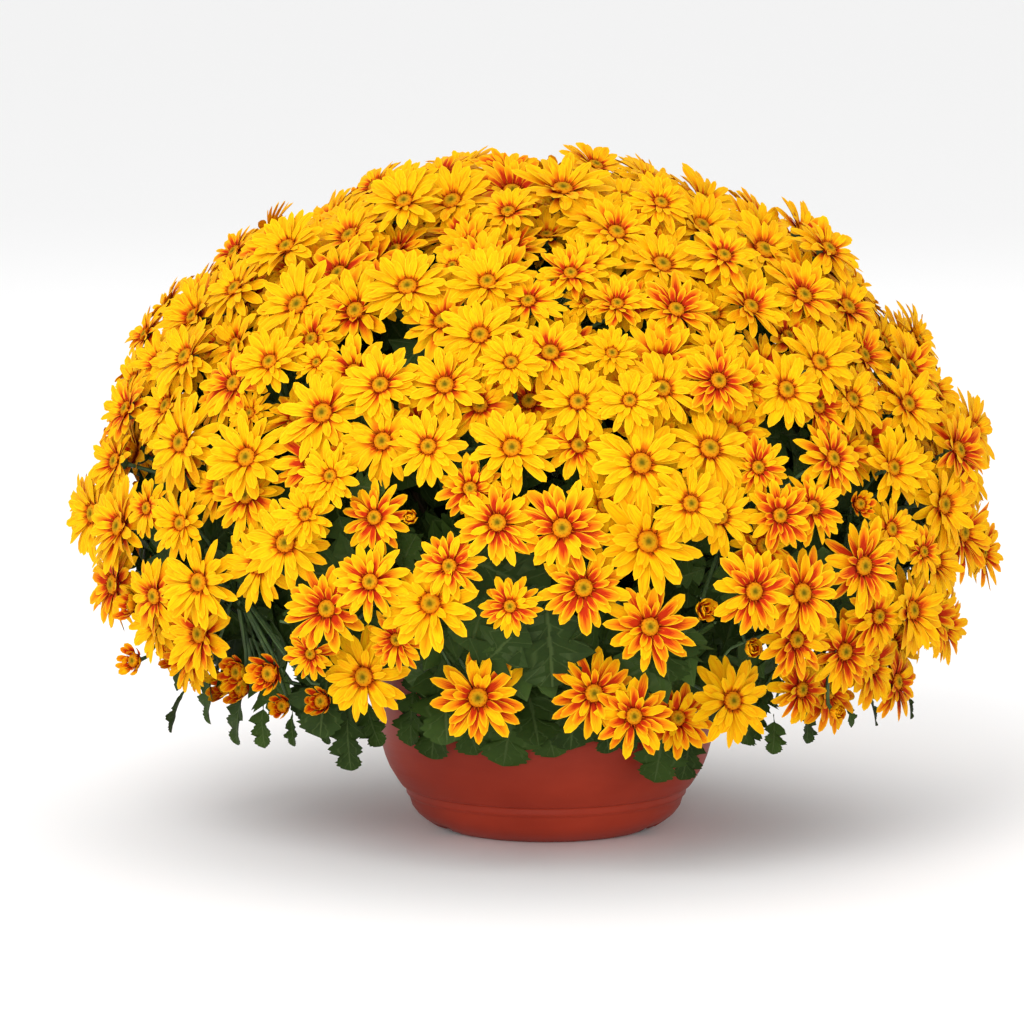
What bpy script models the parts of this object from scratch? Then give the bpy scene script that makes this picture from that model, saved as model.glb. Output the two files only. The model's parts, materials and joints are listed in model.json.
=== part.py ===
"""Pot chrysanthemum: a garden mum in full flower, in a low plastic pan filled with potting soil.

Metres, +Z up. The pan stands on Z = 0 with its axis on the origin, and the plant's best side looks towards -Y.
Five leafy stems stand in the soil. Each carries a wedge of dense foliage, and the flower sprays sit on it.
"""

import itertools
import math

import bmesh
import bpy
import numpy as np
from mathutils import Matrix, Vector
from mathutils.bvhtree import BVHTree

# Clearances
GAP = 0.0003
WEDGE_SHIFT = 0.0004
PETAL_CLEARANCE = 0.0008
MERGE_DISTANCE = 0.00001

# Pan
PAN_SEGMENTS = 30
PAN_HEIGHT = 0.105
PAN_BASE_RADIUS = 0.0600
PAN_STEP_HEIGHT = 0.0232
PAN_STEP_RADIUS = 0.0822
PAN_STEP_DEPTH = 0.0024
PAN_SHOULDER_HEIGHT = 0.0535
PAN_SHOULDER_RADIUS = 0.0974
PAN_NECK_RADIUS = 0.1010
PAN_RIM_RADIUS = 0.1035
PAN_RIM_DROP = 0.0075
PAN_RIM_CHAMFER = 0.0014
PAN_WALL_BULGE = 0.11
PAN_FOOT_BULGE = 0.17
PAN_WALL = 0.0022
PAN_FLOOR = 0.0050
DRAIN_COUNT = 3
DRAIN_FIRST_AZIMUTH = math.radians(-150)
DRAIN_HOLE_RADIUS = 0.0045
DRAIN_HOLE_SIDES = 8
DRAIN_HOLE_FROM_AXIS = 0.0440
DRAIN_CHANNEL_END = 0.0700
DRAIN_CHANNEL_WIDTH = 0.0090
DRAIN_CHANNEL_HEIGHT = 0.0030

# Soil
SOIL_HEIGHT = 0.0900
SOIL_CROWN = 0.0030

# Stems and foliage
STEM_COUNT = 5
STEM_RADIUS = 0.0045
STEM_FROM_AXIS = 0.0440
STEM_ROOT_DEPTH = 0.0220
STEM_ROUTE = ((0.0440, 0.0960), (0.0480, 0.1200), (0.0640, 0.1600), (0.0950, 0.2250))
STEM_HOLE_SIDES = 8
STEM_HOLE_CLEARANCE = 0.0006
CORE_INSET = 0.0500
CORE_STEPS = 4
CORE_RINGS = 8
CORE_TIP_RADIUS = 0.0008
CORE_LOWEST_ANGLE = math.radians(128)
CORE_UNDERSIDE = ((0.128, 0.116), (0.100, 0.150), (0.045, 0.195))
CORE_UNDERSIDE_CENTRE = 0.205

# The canopy is the dome on which the flowers lie
CANOPY_CENTRE = np.array((-0.0080, 0.0000, 0.1640))
CANOPY_RADIUS = 0.2570
CANOPY_RISE = 0.2140
CANOPY_DROP = 0.1250
CANOPY_ROUNDNESS = 2.2
CANOPY_TUCK = 1.4
CANOPY_LOWEST = 0.0980
CANOPY_HEM_WAVES = ((3, 0.008, 0.6), (7, 0.005, 0.0))
CANOPY_REACH = 0.6
HALVINGS = 30
CANOPY_HUMPS = ((-0.055, -0.02, 0.008, 0.040), (0.062, -0.01, 0.006, 0.035), (0.020, -0.02, -0.009, 0.030))

# The view in which the front flowers were read, in pixels of a frame 1024 wide
VIEW_FROM = np.array((-0.020, -3.000, 0.583))
VIEW_AT = np.array((-0.020, 0.000, 0.183))
VIEW_FOCAL = 5205.0
VIEW_CENTRE = 512.0
VIEW_DISTANCES = np.arange(2.6, 3.2, 0.0005)
PIXELS_PER_METRE = 1830.0

# Front flowers, read by eye: column, row and width in that view
FRONT_FLOWERS = (
    (478, 697, 92), (594, 693, 86), (678, 718, 76), (735, 700, 90), (362, 677, 92), (326, 608, 84),
    (308, 654, 54), (374, 580, 76), (430, 603, 96), (451, 565, 80), (395, 640, 62), (510, 606, 58),
    (584, 588, 86), (650, 626, 88), (648, 541, 104), (562, 528, 92), (498, 523, 82), (374, 517, 68),
    (316, 514, 66), (285, 542, 90), (243, 565, 90), (195, 582, 90), (182, 655, 82), (148, 622, 74),
    (232, 490, 86), (180, 522, 72), (135, 506, 62), (90, 505, 80), (245, 455, 90), (175, 440, 96),
    (108, 458, 80), (306, 457, 90), (341, 480, 64), (382, 440, 84), (432, 450, 74), (475, 487, 58),
    (512, 447, 88), (545, 425, 62), (580, 440, 74), (640, 463, 100), (626, 406, 64), (710, 445, 96),
    (684, 505, 78), (722, 515, 76), (762, 465, 64), (778, 515, 66), (776, 545, 76), (816, 505, 72),
    (750, 590, 86), (805, 592, 92), (800, 640, 82), (848, 652, 84), (808, 690, 76), (868, 566, 92),
    (902, 527, 72), (930, 550, 58), (887, 620, 74), (906, 665, 80), (838, 455, 80), (898, 466, 78),
    (950, 450, 92), (975, 495, 84), (984, 550, 74), (932, 612, 52), (715, 383, 78), (718, 345, 72),
    (788, 387, 84), (818, 360, 84), (860, 392, 80), (912, 400, 84), (662, 386, 82), (676, 305, 80),
    (612, 350, 58), (617, 300, 62), (578, 400, 80), (550, 350, 84), (512, 372, 66), (478, 397, 72),
    (445, 383, 84), (384, 387, 80), (322, 410, 96), (316, 358, 48), (275, 363, 76), (230, 378, 84),
    (152, 396, 84), (240, 405, 52), (297, 300, 100), (333, 258, 84), (190, 310, 90), (182, 350, 90),
    (408, 283, 92), (452, 260, 50), (488, 282, 80), (528, 296, 70), (480, 332, 84), (570, 274, 66),
    (588, 289, 56), (662, 259, 92), (615, 236, 84), (716, 268, 76), (752, 300, 80), (804, 290, 88),
    (850, 300, 88), (700, 224, 90), (655, 222, 70), (408, 212, 84), (452, 196, 92), (508, 206, 70),
    (505, 177, 78), (563, 191, 70), (652, 168, 80), (440, 160, 84), (370, 168, 84), (340, 208, 84),
    (270, 245, 84), (760, 225, 88), (235, 250, 80), (880, 340, 84), (118, 375, 84), (108, 415, 80),
    (123, 603, 40), (128, 664, 40), (233, 672, 40), (720, 296, 70),
)

# Flowers elsewhere
FLOWER_SEED = 26
FLOWER_CANDIDATES = 9000
FLOWER_SPACING = 0.0304
FRONT_IS_READ_ABOVE = 0.42
FLOWER_RADIUS_RANGE = (0.0205, 0.0275)
SMALL_FLOWER_SHARE = 0.10
SMALL_FLOWER_SCALE = 0.62
FACING_SCALE = 0.90
FACING_LOWEST = math.radians(8)
FACING_JITTER = 0.16
LIFTS = (0.0, 0.003, -0.003, 0.006, -0.006, 0.009, -0.009, 0.012, 0.015, -0.012, 0.018)
SHRINKS = (1.0, 0.86, 0.74, 0.62)

# One flower
PETALS = 6
PETAL_WAIST = 0.60
PETAL_TIP_RISE = 0.08
CROWN_RISE = 0.14
NECK_DEPTH = 0.34
NECK_RADIUS = 0.0020
STALK_RADIUS = 0.0015
BUD_BELOW_RADIUS = 0.0120
BUD_SIDES = 6
BUD_CROWN = 0.8
BUD_DEPTH = 0.9
STALK_REACH = 0.085

# Sprays
SPRAY_COUNT = 42
SPRAY_ROUNDS = 12
HUB_RADIUS = 0.0060
STALK_START = 0.0078
STALKS_APART = math.radians(26)
SPREAD_ROUNDS = 120
STALK_LOWEST = math.radians(12)
PETAL_SLOT = 0
STALK_SLOT = 1

# Leaves
LEAF_SEED = 71
LEAF_OUTLINE = ((0.30, 0.075), (0.36, 0.25), (0.50, 0.15), (0.66, 0.30), (0.76, 0.14))
LEAF_MIDDLE = 0.52
LEAF_HALF_THICKNESS = 0.0009
LEAF_PETIOLE_HALF_WIDTH = 0.0016
LEAF_FOLD = 0.20
LEAF_DROOP = 0.20
LEAF_LENGTH_RANGE = (0.046, 0.058)
LEAF_TRIES = 24
INNER_LEAVES = 42
INNER_LEAF_SPACING = 0.045
INNER_LEAF_RISE = (0.25, 0.75)
INNER_LEAF_LOWEST = 0.120
SKIRT_RINGS = ((0.178, 0.122, 14, -0.60), (0.146, 0.114, 12, -1.00), (0.131, 0.115, 8, -1.25))
SKIRT_SCATTER = 0.28
SKIRT_TURN = 0.50
LEAF_ROOT_DEPTH = 0.005
LEAF_ROOT_MARGIN = 0.005

UP = np.array((0.0, 0.0, 1.0))

# Colours
PAN_COLOUR = (0.38, 0.050, 0.028, 1.0)
SOIL_COLOUR = (0.030, 0.018, 0.011, 1.0)
LEAF_COLOUR = (0.035, 0.075, 0.022, 1.0)
PETAL_COLOUR = (0.95, 0.42, 0.01, 1.0)


def clear_scene():
    for obj in list(bpy.data.objects):
        bpy.data.objects.remove(obj, do_unlink=True)


def new_collection(name):
    collection = bpy.data.collections.new(name)
    bpy.context.scene.collection.children.link(collection)
    return collection


def new_material(name, colour, roughness):
    material = bpy.data.materials.new(name)
    material.use_nodes = True
    shader = material.node_tree.nodes["Principled BSDF"]
    shader.inputs["Base Color"].default_value = colour
    shader.inputs["Roughness"].default_value = roughness
    shader.inputs["Metallic"].default_value = 0.0
    material.diffuse_color = colour
    return material


def add_object(name, mesh, collection, material=None):
    obj = bpy.data.objects.new(name, mesh)
    collection.objects.link(obj)
    if material:
        mesh.materials.clear()
        mesh.materials.append(material)
    return obj


def add_mesh(name, points, faces, collection, material):
    mesh = bpy.data.meshes.new(name)
    mesh.from_pydata([tuple(point) for point in points], [], faces)
    return add_object(name, mesh, collection, material)


def add_shape(name, shape, collection, material=None):
    """Makes an object of a bmesh, and frees the bmesh."""
    mesh = bpy.data.meshes.new(name)
    shape.to_mesh(mesh)
    shape.free()
    return add_object(name, mesh, collection, material)


def cylinder(name, radius, depth, sides, place, collection):
    shape = bmesh.new()
    bmesh.ops.create_cone(
        shape, cap_ends=True, segments=sides, radius1=radius, radius2=radius, depth=depth, matrix=place
    )
    return add_shape(name, shape, collection)


def box(name, place, collection):
    shape = bmesh.new()
    bmesh.ops.create_cube(shape, size=1.0, matrix=place)
    return add_shape(name, shape, collection)


def applied(obj):
    """Puts the object's modifiers into its mesh."""
    graph = bpy.context.evaluated_depsgraph_get()
    mesh = bpy.data.meshes.new_from_object(obj.evaluated_get(graph))
    obj.modifiers.clear()
    obj.data = mesh
    return obj


def turned(name, profile, collection, material, steps, angle=2 * math.pi):
    """Turns a profile of (radius, height) points about the Z axis with a Screw modifier."""
    full_turn = angle == 2 * math.pi
    edges = [(i, i + 1) for i in range(len(profile) - 1)]
    if not full_turn:
        edges.append((len(profile) - 1, 0))
    mesh = bpy.data.meshes.new(name)
    mesh.from_pydata([(radius, 0.0, height) for radius, height in profile], edges, [])
    obj = add_object(name, mesh, collection, material)
    screw = obj.modifiers.new("Turn", "SCREW")
    screw.angle = angle
    screw.steps = steps
    screw.render_steps = steps
    screw.use_merge_vertices = full_turn
    screw.merge_threshold = MERGE_DISTANCE
    screw.use_smooth_shade = False
    return applied(obj)


def outward(obj, triangles=False):
    """Turns every face of a closed mesh outwards."""
    shape = bmesh.new()
    shape.from_mesh(obj.data)
    if triangles:
        bmesh.ops.triangulate(shape, faces=shape.faces)
    bmesh.ops.recalc_face_normals(shape, faces=shape.faces)
    shape.to_mesh(obj.data)
    shape.free()
    return obj


def boolean(obj, others, operation):
    """Cuts the other objects out of this one, or joins them to it, and removes them."""
    operands = bpy.data.collections.new("operands")
    bpy.context.scene.collection.children.link(operands)
    for other in others:
        for home in list(other.users_collection):
            home.objects.unlink(other)
        operands.objects.link(other)
    modifier = obj.modifiers.new(operation.title(), "BOOLEAN")
    modifier.operation = operation
    modifier.operand_type = "COLLECTION"
    modifier.collection = operands
    modifier.solver = "EXACT"
    applied(obj)
    for other in others:
        bpy.data.objects.remove(other, do_unlink=True)
    bpy.data.collections.remove(operands)
    return obj


def largest_body(obj):
    """Drops loose scraps and sealed hollows: only the body with the most points stays."""
    shape = bmesh.new()
    shape.from_mesh(obj.data)
    left = set(shape.verts)
    bodies = []
    while left:
        stack = [left.pop()]
        body = list(stack)
        while stack:
            for edge in stack.pop().link_edges:
                for vertex in edge.verts:
                    if vertex in left:
                        left.remove(vertex)
                        body.append(vertex)
                        stack.append(vertex)
        bodies.append(body)
    bodies.sort(key=len)
    scraps = [vertex for body in bodies[:-1] for vertex in body]
    bmesh.ops.delete(shape, geom=scraps, context="VERTS")
    shape.to_mesh(obj.data)
    shape.free()
    return obj


def arc(start, end, bulge, count):
    """Points on a shallow arc between two points, which bulges outwards by that share of its length."""
    start = np.array(start)
    along = np.array(end) - start
    aside = np.array((-along[1], along[0]))
    ways = np.linspace(0, 1, count + 2)[1:-1]
    return [tuple(start + along * way + aside * bulge * 4 * way * (1 - way)) for way in ways]


def inner_profile(gap):
    """The pan's inside from the floor's centre to the rim, or with a gap, the outside of what fills it."""
    wall = PAN_WALL + gap
    floor = PAN_FLOOR + gap
    return [
        (0.0, floor),
        (PAN_BASE_RADIUS + 0.0035 - wall, floor),
        (PAN_STEP_RADIUS - 0.0035 - wall, PAN_STEP_HEIGHT - 0.0040),
        (PAN_SHOULDER_RADIUS - wall, PAN_SHOULDER_HEIGHT),
        (PAN_NECK_RADIUS - wall, PAN_HEIGHT),
    ]


def pan_profile():
    """The pan's section: up the inside from the floor, over the rim, down the outside, to the base."""
    neck = (PAN_NECK_RADIUS, PAN_HEIGHT - PAN_RIM_DROP)
    shoulder = (PAN_SHOULDER_RADIUS, PAN_SHOULDER_HEIGHT)
    step_top = (PAN_STEP_RADIUS + PAN_STEP_DEPTH, PAN_STEP_HEIGHT + 0.0008)
    step_foot = (PAN_STEP_RADIUS, PAN_STEP_HEIGHT)
    base = (PAN_BASE_RADIUS, 0.0)
    chamfer = PAN_RIM_CHAMFER
    outer = [(PAN_RIM_RADIUS - chamfer, PAN_HEIGHT), (PAN_RIM_RADIUS, PAN_HEIGHT - chamfer)]
    outer += [(PAN_RIM_RADIUS, neck[1] + chamfer), neck, shoulder]
    outer += arc(shoulder, step_top, PAN_WALL_BULGE, 2)
    outer += [step_top, step_foot]
    outer += arc(step_foot, base, PAN_FOOT_BULGE, 3)
    outer += [base, (0.0, 0.0)]
    return inner_profile(0.0) + outer


def build_pan(collection, material):
    """The pan, with a drain hole at the inner end of each channel under its base."""
    pan = outward(turned("pan", pan_profile(), collection, material, PAN_SEGMENTS))
    length = DRAIN_CHANNEL_END - DRAIN_HOLE_FROM_AXIS
    size = Matrix.Diagonal((length, DRAIN_CHANNEL_WIDTH, 2 * DRAIN_CHANNEL_HEIGHT, 1.0))
    cutters = []
    for index in range(DRAIN_COUNT):
        turn = Matrix.Rotation(DRAIN_FIRST_AZIMUTH + 2 * math.pi * index / DRAIN_COUNT, 4, "Z")
        place = turn @ Matrix.Translation((DRAIN_HOLE_FROM_AXIS, 0.0, PAN_FLOOR / 2))
        hole = cylinder("drain_hole", DRAIN_HOLE_RADIUS, 3 * PAN_FLOOR, DRAIN_HOLE_SIDES, place, collection)
        place = turn @ Matrix.Translation((DRAIN_HOLE_FROM_AXIS + length / 2, 0.0, 0.0)) @ size
        cutters += [hole, box("drain_channel", place, collection)]
    boolean(pan, cutters, "DIFFERENCE")
    return outward(pan, triangles=True)


def stem_azimuth(index):
    return -math.pi / 2 + 2 * math.pi * index / STEM_COUNT


def build_soil(collection, material):
    """The soil, which fills the pan's inside, with a plain hole for each stem."""
    sides = inner_profile(GAP)
    below, above = sides[-2], sides[-1]
    share = (SOIL_HEIGHT - below[1]) / (above[1] - below[1])
    edge = below[0] + share * (above[0] - below[0])
    profile = sides[:-1] + [(edge, SOIL_HEIGHT), (0.0, SOIL_HEIGHT + SOIL_CROWN)]
    soil = outward(turned("soil", profile, collection, material, PAN_SEGMENTS))
    bottom = SOIL_HEIGHT - STEM_ROOT_DEPTH - GAP
    radius = STEM_RADIUS + STEM_HOLE_CLEARANCE
    cutters = []
    for index in range(STEM_COUNT):
        turn = Matrix.Rotation(stem_azimuth(index), 4, "Z")
        place = turn @ Matrix.Translation((STEM_FROM_AXIS, 0.0, bottom + STEM_ROOT_DEPTH))
        cutters.append(cylinder("stem_hole", radius, 2 * STEM_ROOT_DEPTH, STEM_HOLE_SIDES, place, collection))
    boolean(soil, cutters, "DIFFERENCE")
    return outward(soil, triangles=True)


def canopy_rise(x, y):
    """The dome's height above its widest level, with its low humps."""
    rise = CANOPY_RISE
    for hump_x, hump_y, height, width in CANOPY_HUMPS:
        rise = rise + height * np.exp(-((x - hump_x) ** 2 + (y - hump_y) ** 2) / width**2)
    return rise


def canopy_level(points):
    """Zero on the canopy, below zero inside it, above zero outside."""
    x, y, z = np.moveaxis(np.asarray(points, float) - CANOPY_CENTRE, -1, 0)
    half_height = np.where(z > 0, canopy_rise(x, y), CANOPY_DROP)
    level = (np.hypot(x, y) / CANOPY_RADIUS) ** CANOPY_ROUNDNESS
    power = np.where(z > 0, CANOPY_ROUNDNESS, CANOPY_TUCK)
    return level + (np.abs(z) / half_height) ** power - 1


def canopy_normal(point):
    """The outward direction square to the canopy."""
    step = 0.0005
    slope = [canopy_level(point + step * axis) - canopy_level(point - step * axis) for axis in np.eye(3)]
    return np.array(slope) / np.linalg.norm(slope)


def canopy_along(directions):
    """Where rays from the canopy's centre meet it, by halving."""
    near = np.zeros(len(directions))
    far = np.full(len(directions), CANOPY_REACH)
    for _ in range(HALVINGS):
        middle = (near + far) / 2
        inside = canopy_level(CANOPY_CENTRE + directions * middle[:, None]) < 0
        near = np.where(inside, middle, near)
        far = np.where(inside, far, middle)
    return CANOPY_CENTRE + directions * near[:, None]


def seen_on_canopy(column, row):
    """The canopy point that lies at this column and row of the view, or the nearest to it."""
    ahead = (VIEW_AT - VIEW_FROM) / np.linalg.norm(VIEW_AT - VIEW_FROM)
    right = np.cross(ahead, (0.0, 0.0, 1.0))
    right /= np.linalg.norm(right)
    up = np.cross(right, ahead)
    ray = ahead * VIEW_FOCAL + right * (column - VIEW_CENTRE) + up * (VIEW_CENTRE - row)
    ray /= np.linalg.norm(ray)
    points = VIEW_FROM + ray * VIEW_DISTANCES[:, None]
    levels = canopy_level(points)
    hits = np.nonzero(levels < 0)[0]
    index = hits[0] if len(hits) else int(np.argmin(levels))
    out = points[index] - CANOPY_CENTRE
    return canopy_along((out / np.linalg.norm(out))[None])[0]


def facing_of(point, rng):
    """The way a flower looks: square to the canopy, turned up a little, and never down."""
    normal = canopy_normal(point)
    azimuth = math.atan2(normal[1], normal[0])
    height = max(math.asin(normal[2]), 0.0) * FACING_SCALE + FACING_LOWEST
    facing = np.array(
        (math.cos(azimuth) * math.cos(height), math.sin(azimuth) * math.cos(height), math.sin(height))
    )
    facing += rng.uniform(-FACING_JITTER, FACING_JITTER, 3)
    return facing / np.linalg.norm(facing)


def lowest_at(point):
    """The canopy's hem, which waves up and down round the plant."""
    azimuth = math.atan2(point[1], point[0])
    waves = [height * math.sin(count * azimuth + phase) for count, height, phase in CANOPY_HEM_WAVES]
    return CANOPY_LOWEST + sum(waves)


def place_flowers():
    """The flowers' places: those read by eye, then a seeded scatter that keeps its distance."""
    rng = np.random.default_rng(FLOWER_SEED)
    places = []
    for column, row, width in FRONT_FLOWERS:
        point = seen_on_canopy(column, row)
        places.append((point, width / PIXELS_PER_METRE / 2))
    directions = rng.normal(size=(FLOWER_CANDIDATES, 3))
    directions /= np.linalg.norm(directions, axis=1)[:, None]
    to_view = (VIEW_FROM - VIEW_AT) / np.linalg.norm(VIEW_FROM - VIEW_AT)
    for point in canopy_along(directions):
        if point[2] < lowest_at(point) or canopy_normal(point) @ to_view > FRONT_IS_READ_ABOVE:
            continue
        distances = np.linalg.norm(np.array([place for place, _ in places]) - point, axis=1)
        if distances.min() < FLOWER_SPACING:
            continue
        radius = rng.uniform(*FLOWER_RADIUS_RANGE)
        if rng.random() < SMALL_FLOWER_SHARE:
            radius *= SMALL_FLOWER_SCALE
        places.append((point, radius))
    flowers = []
    for point, radius in places:
        flower = {
            "point": point,
            "normal": canopy_normal(point),
            "facing": facing_of(point, rng),
            "radius": radius,
            "twist": rng.uniform(0, 2 * math.pi),
        }
        flowers.append(flower)
    return flowers


def group_in_sprays(flowers):
    """Shares the flowers among the sprays by the nearest of some centres, which are spread evenly at first."""
    points = np.array([flower["point"] for flower in flowers])
    centres = [points[0]]
    for _ in range(SPRAY_COUNT - 1):
        distances = np.linalg.norm(points[:, None] - np.array(centres)[None], axis=2).min(axis=1)
        centres.append(points[int(np.argmax(distances))])
    centres = np.array(centres)
    for _ in range(SPRAY_ROUNDS):
        nearest = np.linalg.norm(points[:, None] - centres[None], axis=2).argmin(axis=1)
        centres = np.array([points[nearest == index].mean(axis=0) for index in range(SPRAY_COUNT)])
    order = sorted(range(SPRAY_COUNT), key=lambda index: (-round(centres[index][2], 2), centres[index][0]))
    return [[flowers[i] for i in np.nonzero(nearest == index)[0]] for index in order]


def core_profile():
    """The foliage core's section: the canopy's dome, set in, and a hollow underside."""
    radius = CANOPY_RADIUS - CORE_INSET
    power = 2 / CANOPY_ROUNDNESS
    profile = []
    for angle in np.linspace(0.0, CORE_LOWEST_ANGLE, CORE_RINGS):
        half_height = (CANOPY_RISE if angle <= math.pi / 2 else CANOPY_DROP) - CORE_INSET
        height = math.copysign(abs(math.cos(angle)) ** power, math.cos(angle)) * half_height
        reach = max(math.sin(angle) ** power * radius, CORE_TIP_RADIUS)
        profile.append((reach, CANOPY_CENTRE[2] + height))
    profile += list(CORE_UNDERSIDE)
    profile.append((CORE_TIP_RADIUS, CORE_UNDERSIDE_CENTRE))
    return profile


def build_core_wedge(index, collection, material):
    """One stem's share of the foliage core, with its two cut sides closed."""
    angle = 2 * math.pi / STEM_COUNT
    wedge = turned("core_%d" % index, core_profile(), collection, material, CORE_STEPS, angle)
    shape = bmesh.new()
    shape.from_mesh(wedge.data)
    bmesh.ops.holes_fill(shape, edges=[edge for edge in shape.edges if edge.is_boundary])
    start = stem_azimuth(index) - angle / 2
    shift = Vector((math.cos(stem_azimuth(index)), math.sin(stem_azimuth(index)), 0.0)) * WEDGE_SHIFT
    centre = Vector((CANOPY_CENTRE[0], CANOPY_CENTRE[1], 0.0))
    place = Matrix.Translation(shift + centre) @ Matrix.Rotation(start, 4, "Z")
    bmesh.ops.transform(shape, matrix=place, verts=shape.verts)
    bmesh.ops.triangulate(shape, faces=shape.faces)
    bmesh.ops.recalc_face_normals(shape, faces=shape.faces)
    shape.to_mesh(wedge.data)
    shape.free()
    return wedge


def tree_of(points, faces):
    return BVHTree.FromPolygons([tuple(point) for point in points], faces)


def tree_of_object(obj):
    faces = [tuple(face.vertices) for face in obj.data.polygons]
    return tree_of([vertex.co for vertex in obj.data.vertices], faces)


def seat_hub(spray, core_trees):
    """Sets a spray's hub on the foliage core, under the middle of its flowers, with the usual gap."""
    middle = np.mean([flower["point"] for flower in spray], axis=0)
    start = canopy_along(((middle - CANOPY_CENTRE) / np.linalg.norm(middle - CANOPY_CENTRE))[None])[0]
    inward = Vector(-canopy_normal(start))
    best = None
    for tree in core_trees:
        place, normal, _, distance = tree.ray_cast(Vector(start), inward)
        if place is None:
            place, normal, _, distance = tree.find_nearest(Vector(start))
            distance += 1.0
        if best is None or distance < best[2]:
            best = (place, normal, distance)
    normal = np.array(best[1])
    return np.array(best[0]) + normal * (HUB_RADIUS + GAP), normal


def frame_of(axis):
    """Three square directions, the last along the axis."""
    axis = np.asarray(axis) / np.linalg.norm(axis)
    side = np.cross(axis, (0.0, 0.0, 1.0))
    if np.linalg.norm(side) < 1e-3:
        side = np.array((1.0, 0.0, 0.0))
    side /= np.linalg.norm(side)
    return side, np.cross(axis, side), axis


def triangle_about(centre, flower, axis, radius):
    """Three points round an axis, turned from the flower's facing by the shortest way, so nothing twists."""
    side, across, facing = frame_of(flower["facing"])
    turn = np.array(Vector(facing).rotation_difference(Vector(axis)).to_matrix())
    angles = flower["twist"] + 2 * math.pi * np.arange(3) / 3
    ring = side * np.cos(angles)[:, None] + across * np.sin(angles)[:, None]
    return centre + radius * ring @ turn.T


def star_points(centre, flower, radii, heights):
    """Points round the flower's facing, each with its own radius and height."""
    side, across, facing = frame_of(flower["facing"])
    angles = flower["twist"] + 2 * math.pi * np.arange(len(radii)) / len(radii)
    radial = side * np.cos(angles)[:, None] + across * np.sin(angles)[:, None]
    return centre + radial * np.array(radii)[:, None] + facing * np.array(heights)[:, None]


def loft(lower, upper, lower_start, upper_start):
    """Triangles between two rings with unlike counts of points, seen from outside."""
    faces = []
    i = 0
    j = 0
    while i < lower or j < upper:
        if j >= upper or (i < lower and (i + 1) / lower <= (j + 1) / upper):
            faces.append((lower_start + i % lower, lower_start + (i + 1) % lower, upper_start + j % upper))
            i += 1
        else:
            faces.append((lower_start + i % lower, upper_start + (j + 1) % upper, upper_start + j % upper))
            j += 1
    return faces


def flower_shape(flower, raise_by=0.0, grow=0.0):
    """A star of pointed petals on a three-sided stalk that starts at the spray's hub.

    The star is a fan from its crown to the petals' tips and waists, and its underside runs in to the neck.
    A bud has a plain ring and a high crown in place of the star. The stalk's foot, points 0 to 2, is left open.
    """
    radius = flower["radius"] + grow
    facing = flower["facing"]
    centre = flower["centre"] + facing * raise_by
    if flower["radius"] < BUD_BELOW_RADIUS:
        count = BUD_SIDES
        radii = [radius] * count
        heights = [0.0] * count
        crown = BUD_CROWN * radius
        depth = BUD_DEPTH * radius
    else:
        count = 2 * PETALS
        radii = [radius, radius * PETAL_WAIST] * PETALS
        heights = [radius * PETAL_TIP_RISE, 0.0] * PETALS
        crown = CROWN_RISE * radius
        depth = NECK_DEPTH * radius
    neck = centre - facing * depth
    foot = flower["foot"]
    neck_axis = facing + (neck - foot) / np.linalg.norm(neck - foot)
    points = np.concatenate([
        triangle_about(foot, flower, flower["start"], STALK_RADIUS + grow / 2),
        triangle_about(neck, flower, neck_axis, NECK_RADIUS + grow / 2),
        star_points(centre, flower, radii, heights),
        [centre + facing * crown],
    ])
    first = 6
    top = first + count
    faces = loft(3, 3, 0, 3)
    faces += loft(3, count, 3, first)
    faces += [(first + i, first + (i + 1) % count, top) for i in range(count)]
    return points, faces


def start_stalks(spray, hub, hub_normal):
    """Gives each flower of a spray the direction and the foot of its stalk, spread apart on the hub."""
    ways = np.array([flower["point"] - hub for flower in spray])
    ways /= np.linalg.norm(ways, axis=1)[:, None]
    for _ in range(SPREAD_ROUNDS):
        push = np.zeros_like(ways)
        for i, way in enumerate(ways):
            for j, other in enumerate(ways):
                angle = math.acos(max(-1.0, min(1.0, float(way @ other))))
                if i != j and angle < STALKS_APART:
                    push[i] += (way - other) / np.linalg.norm(way - other) * (STALKS_APART - angle) / 2
        ways = ways + push
        sunk = np.minimum(ways @ hub_normal - math.sin(STALK_LOWEST), 0.0)
        ways = ways - sunk[:, None] * hub_normal
        ways /= np.linalg.norm(ways, axis=1)[:, None]
    for flower, way in zip(spray, ways):
        flower["start"] = way
        flower["foot"] = hub + way * STALK_START


def may_meet(first, second):
    """Whether two flowers or their stalks lie near enough to be worth testing."""
    apart = np.linalg.norm(first["centre"] - second["centre"])
    to_stalk = np.linalg.norm(first["centre"] - second["foot"])
    return min(apart - first["radius"] - second["radius"] - 4 * PETAL_CLEARANCE, to_stalk - STALK_REACH) < 0


def is_clear(flower, placed, core_trees):
    """Whether the flower, shifted a little to and fro, meets neither the core nor any flower placed so far."""
    shifts = (-PETAL_CLEARANCE, 0.0, PETAL_CLEARANCE)
    mine = [tree_of(*flower_shape(flower, shift, PETAL_CLEARANCE)) for shift in shifts]
    theirs = core_trees + [other["tree"] for other in placed if may_meet(flower, other)]
    return not any(tree.overlap(other) for tree in mine for other in theirs)


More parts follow.
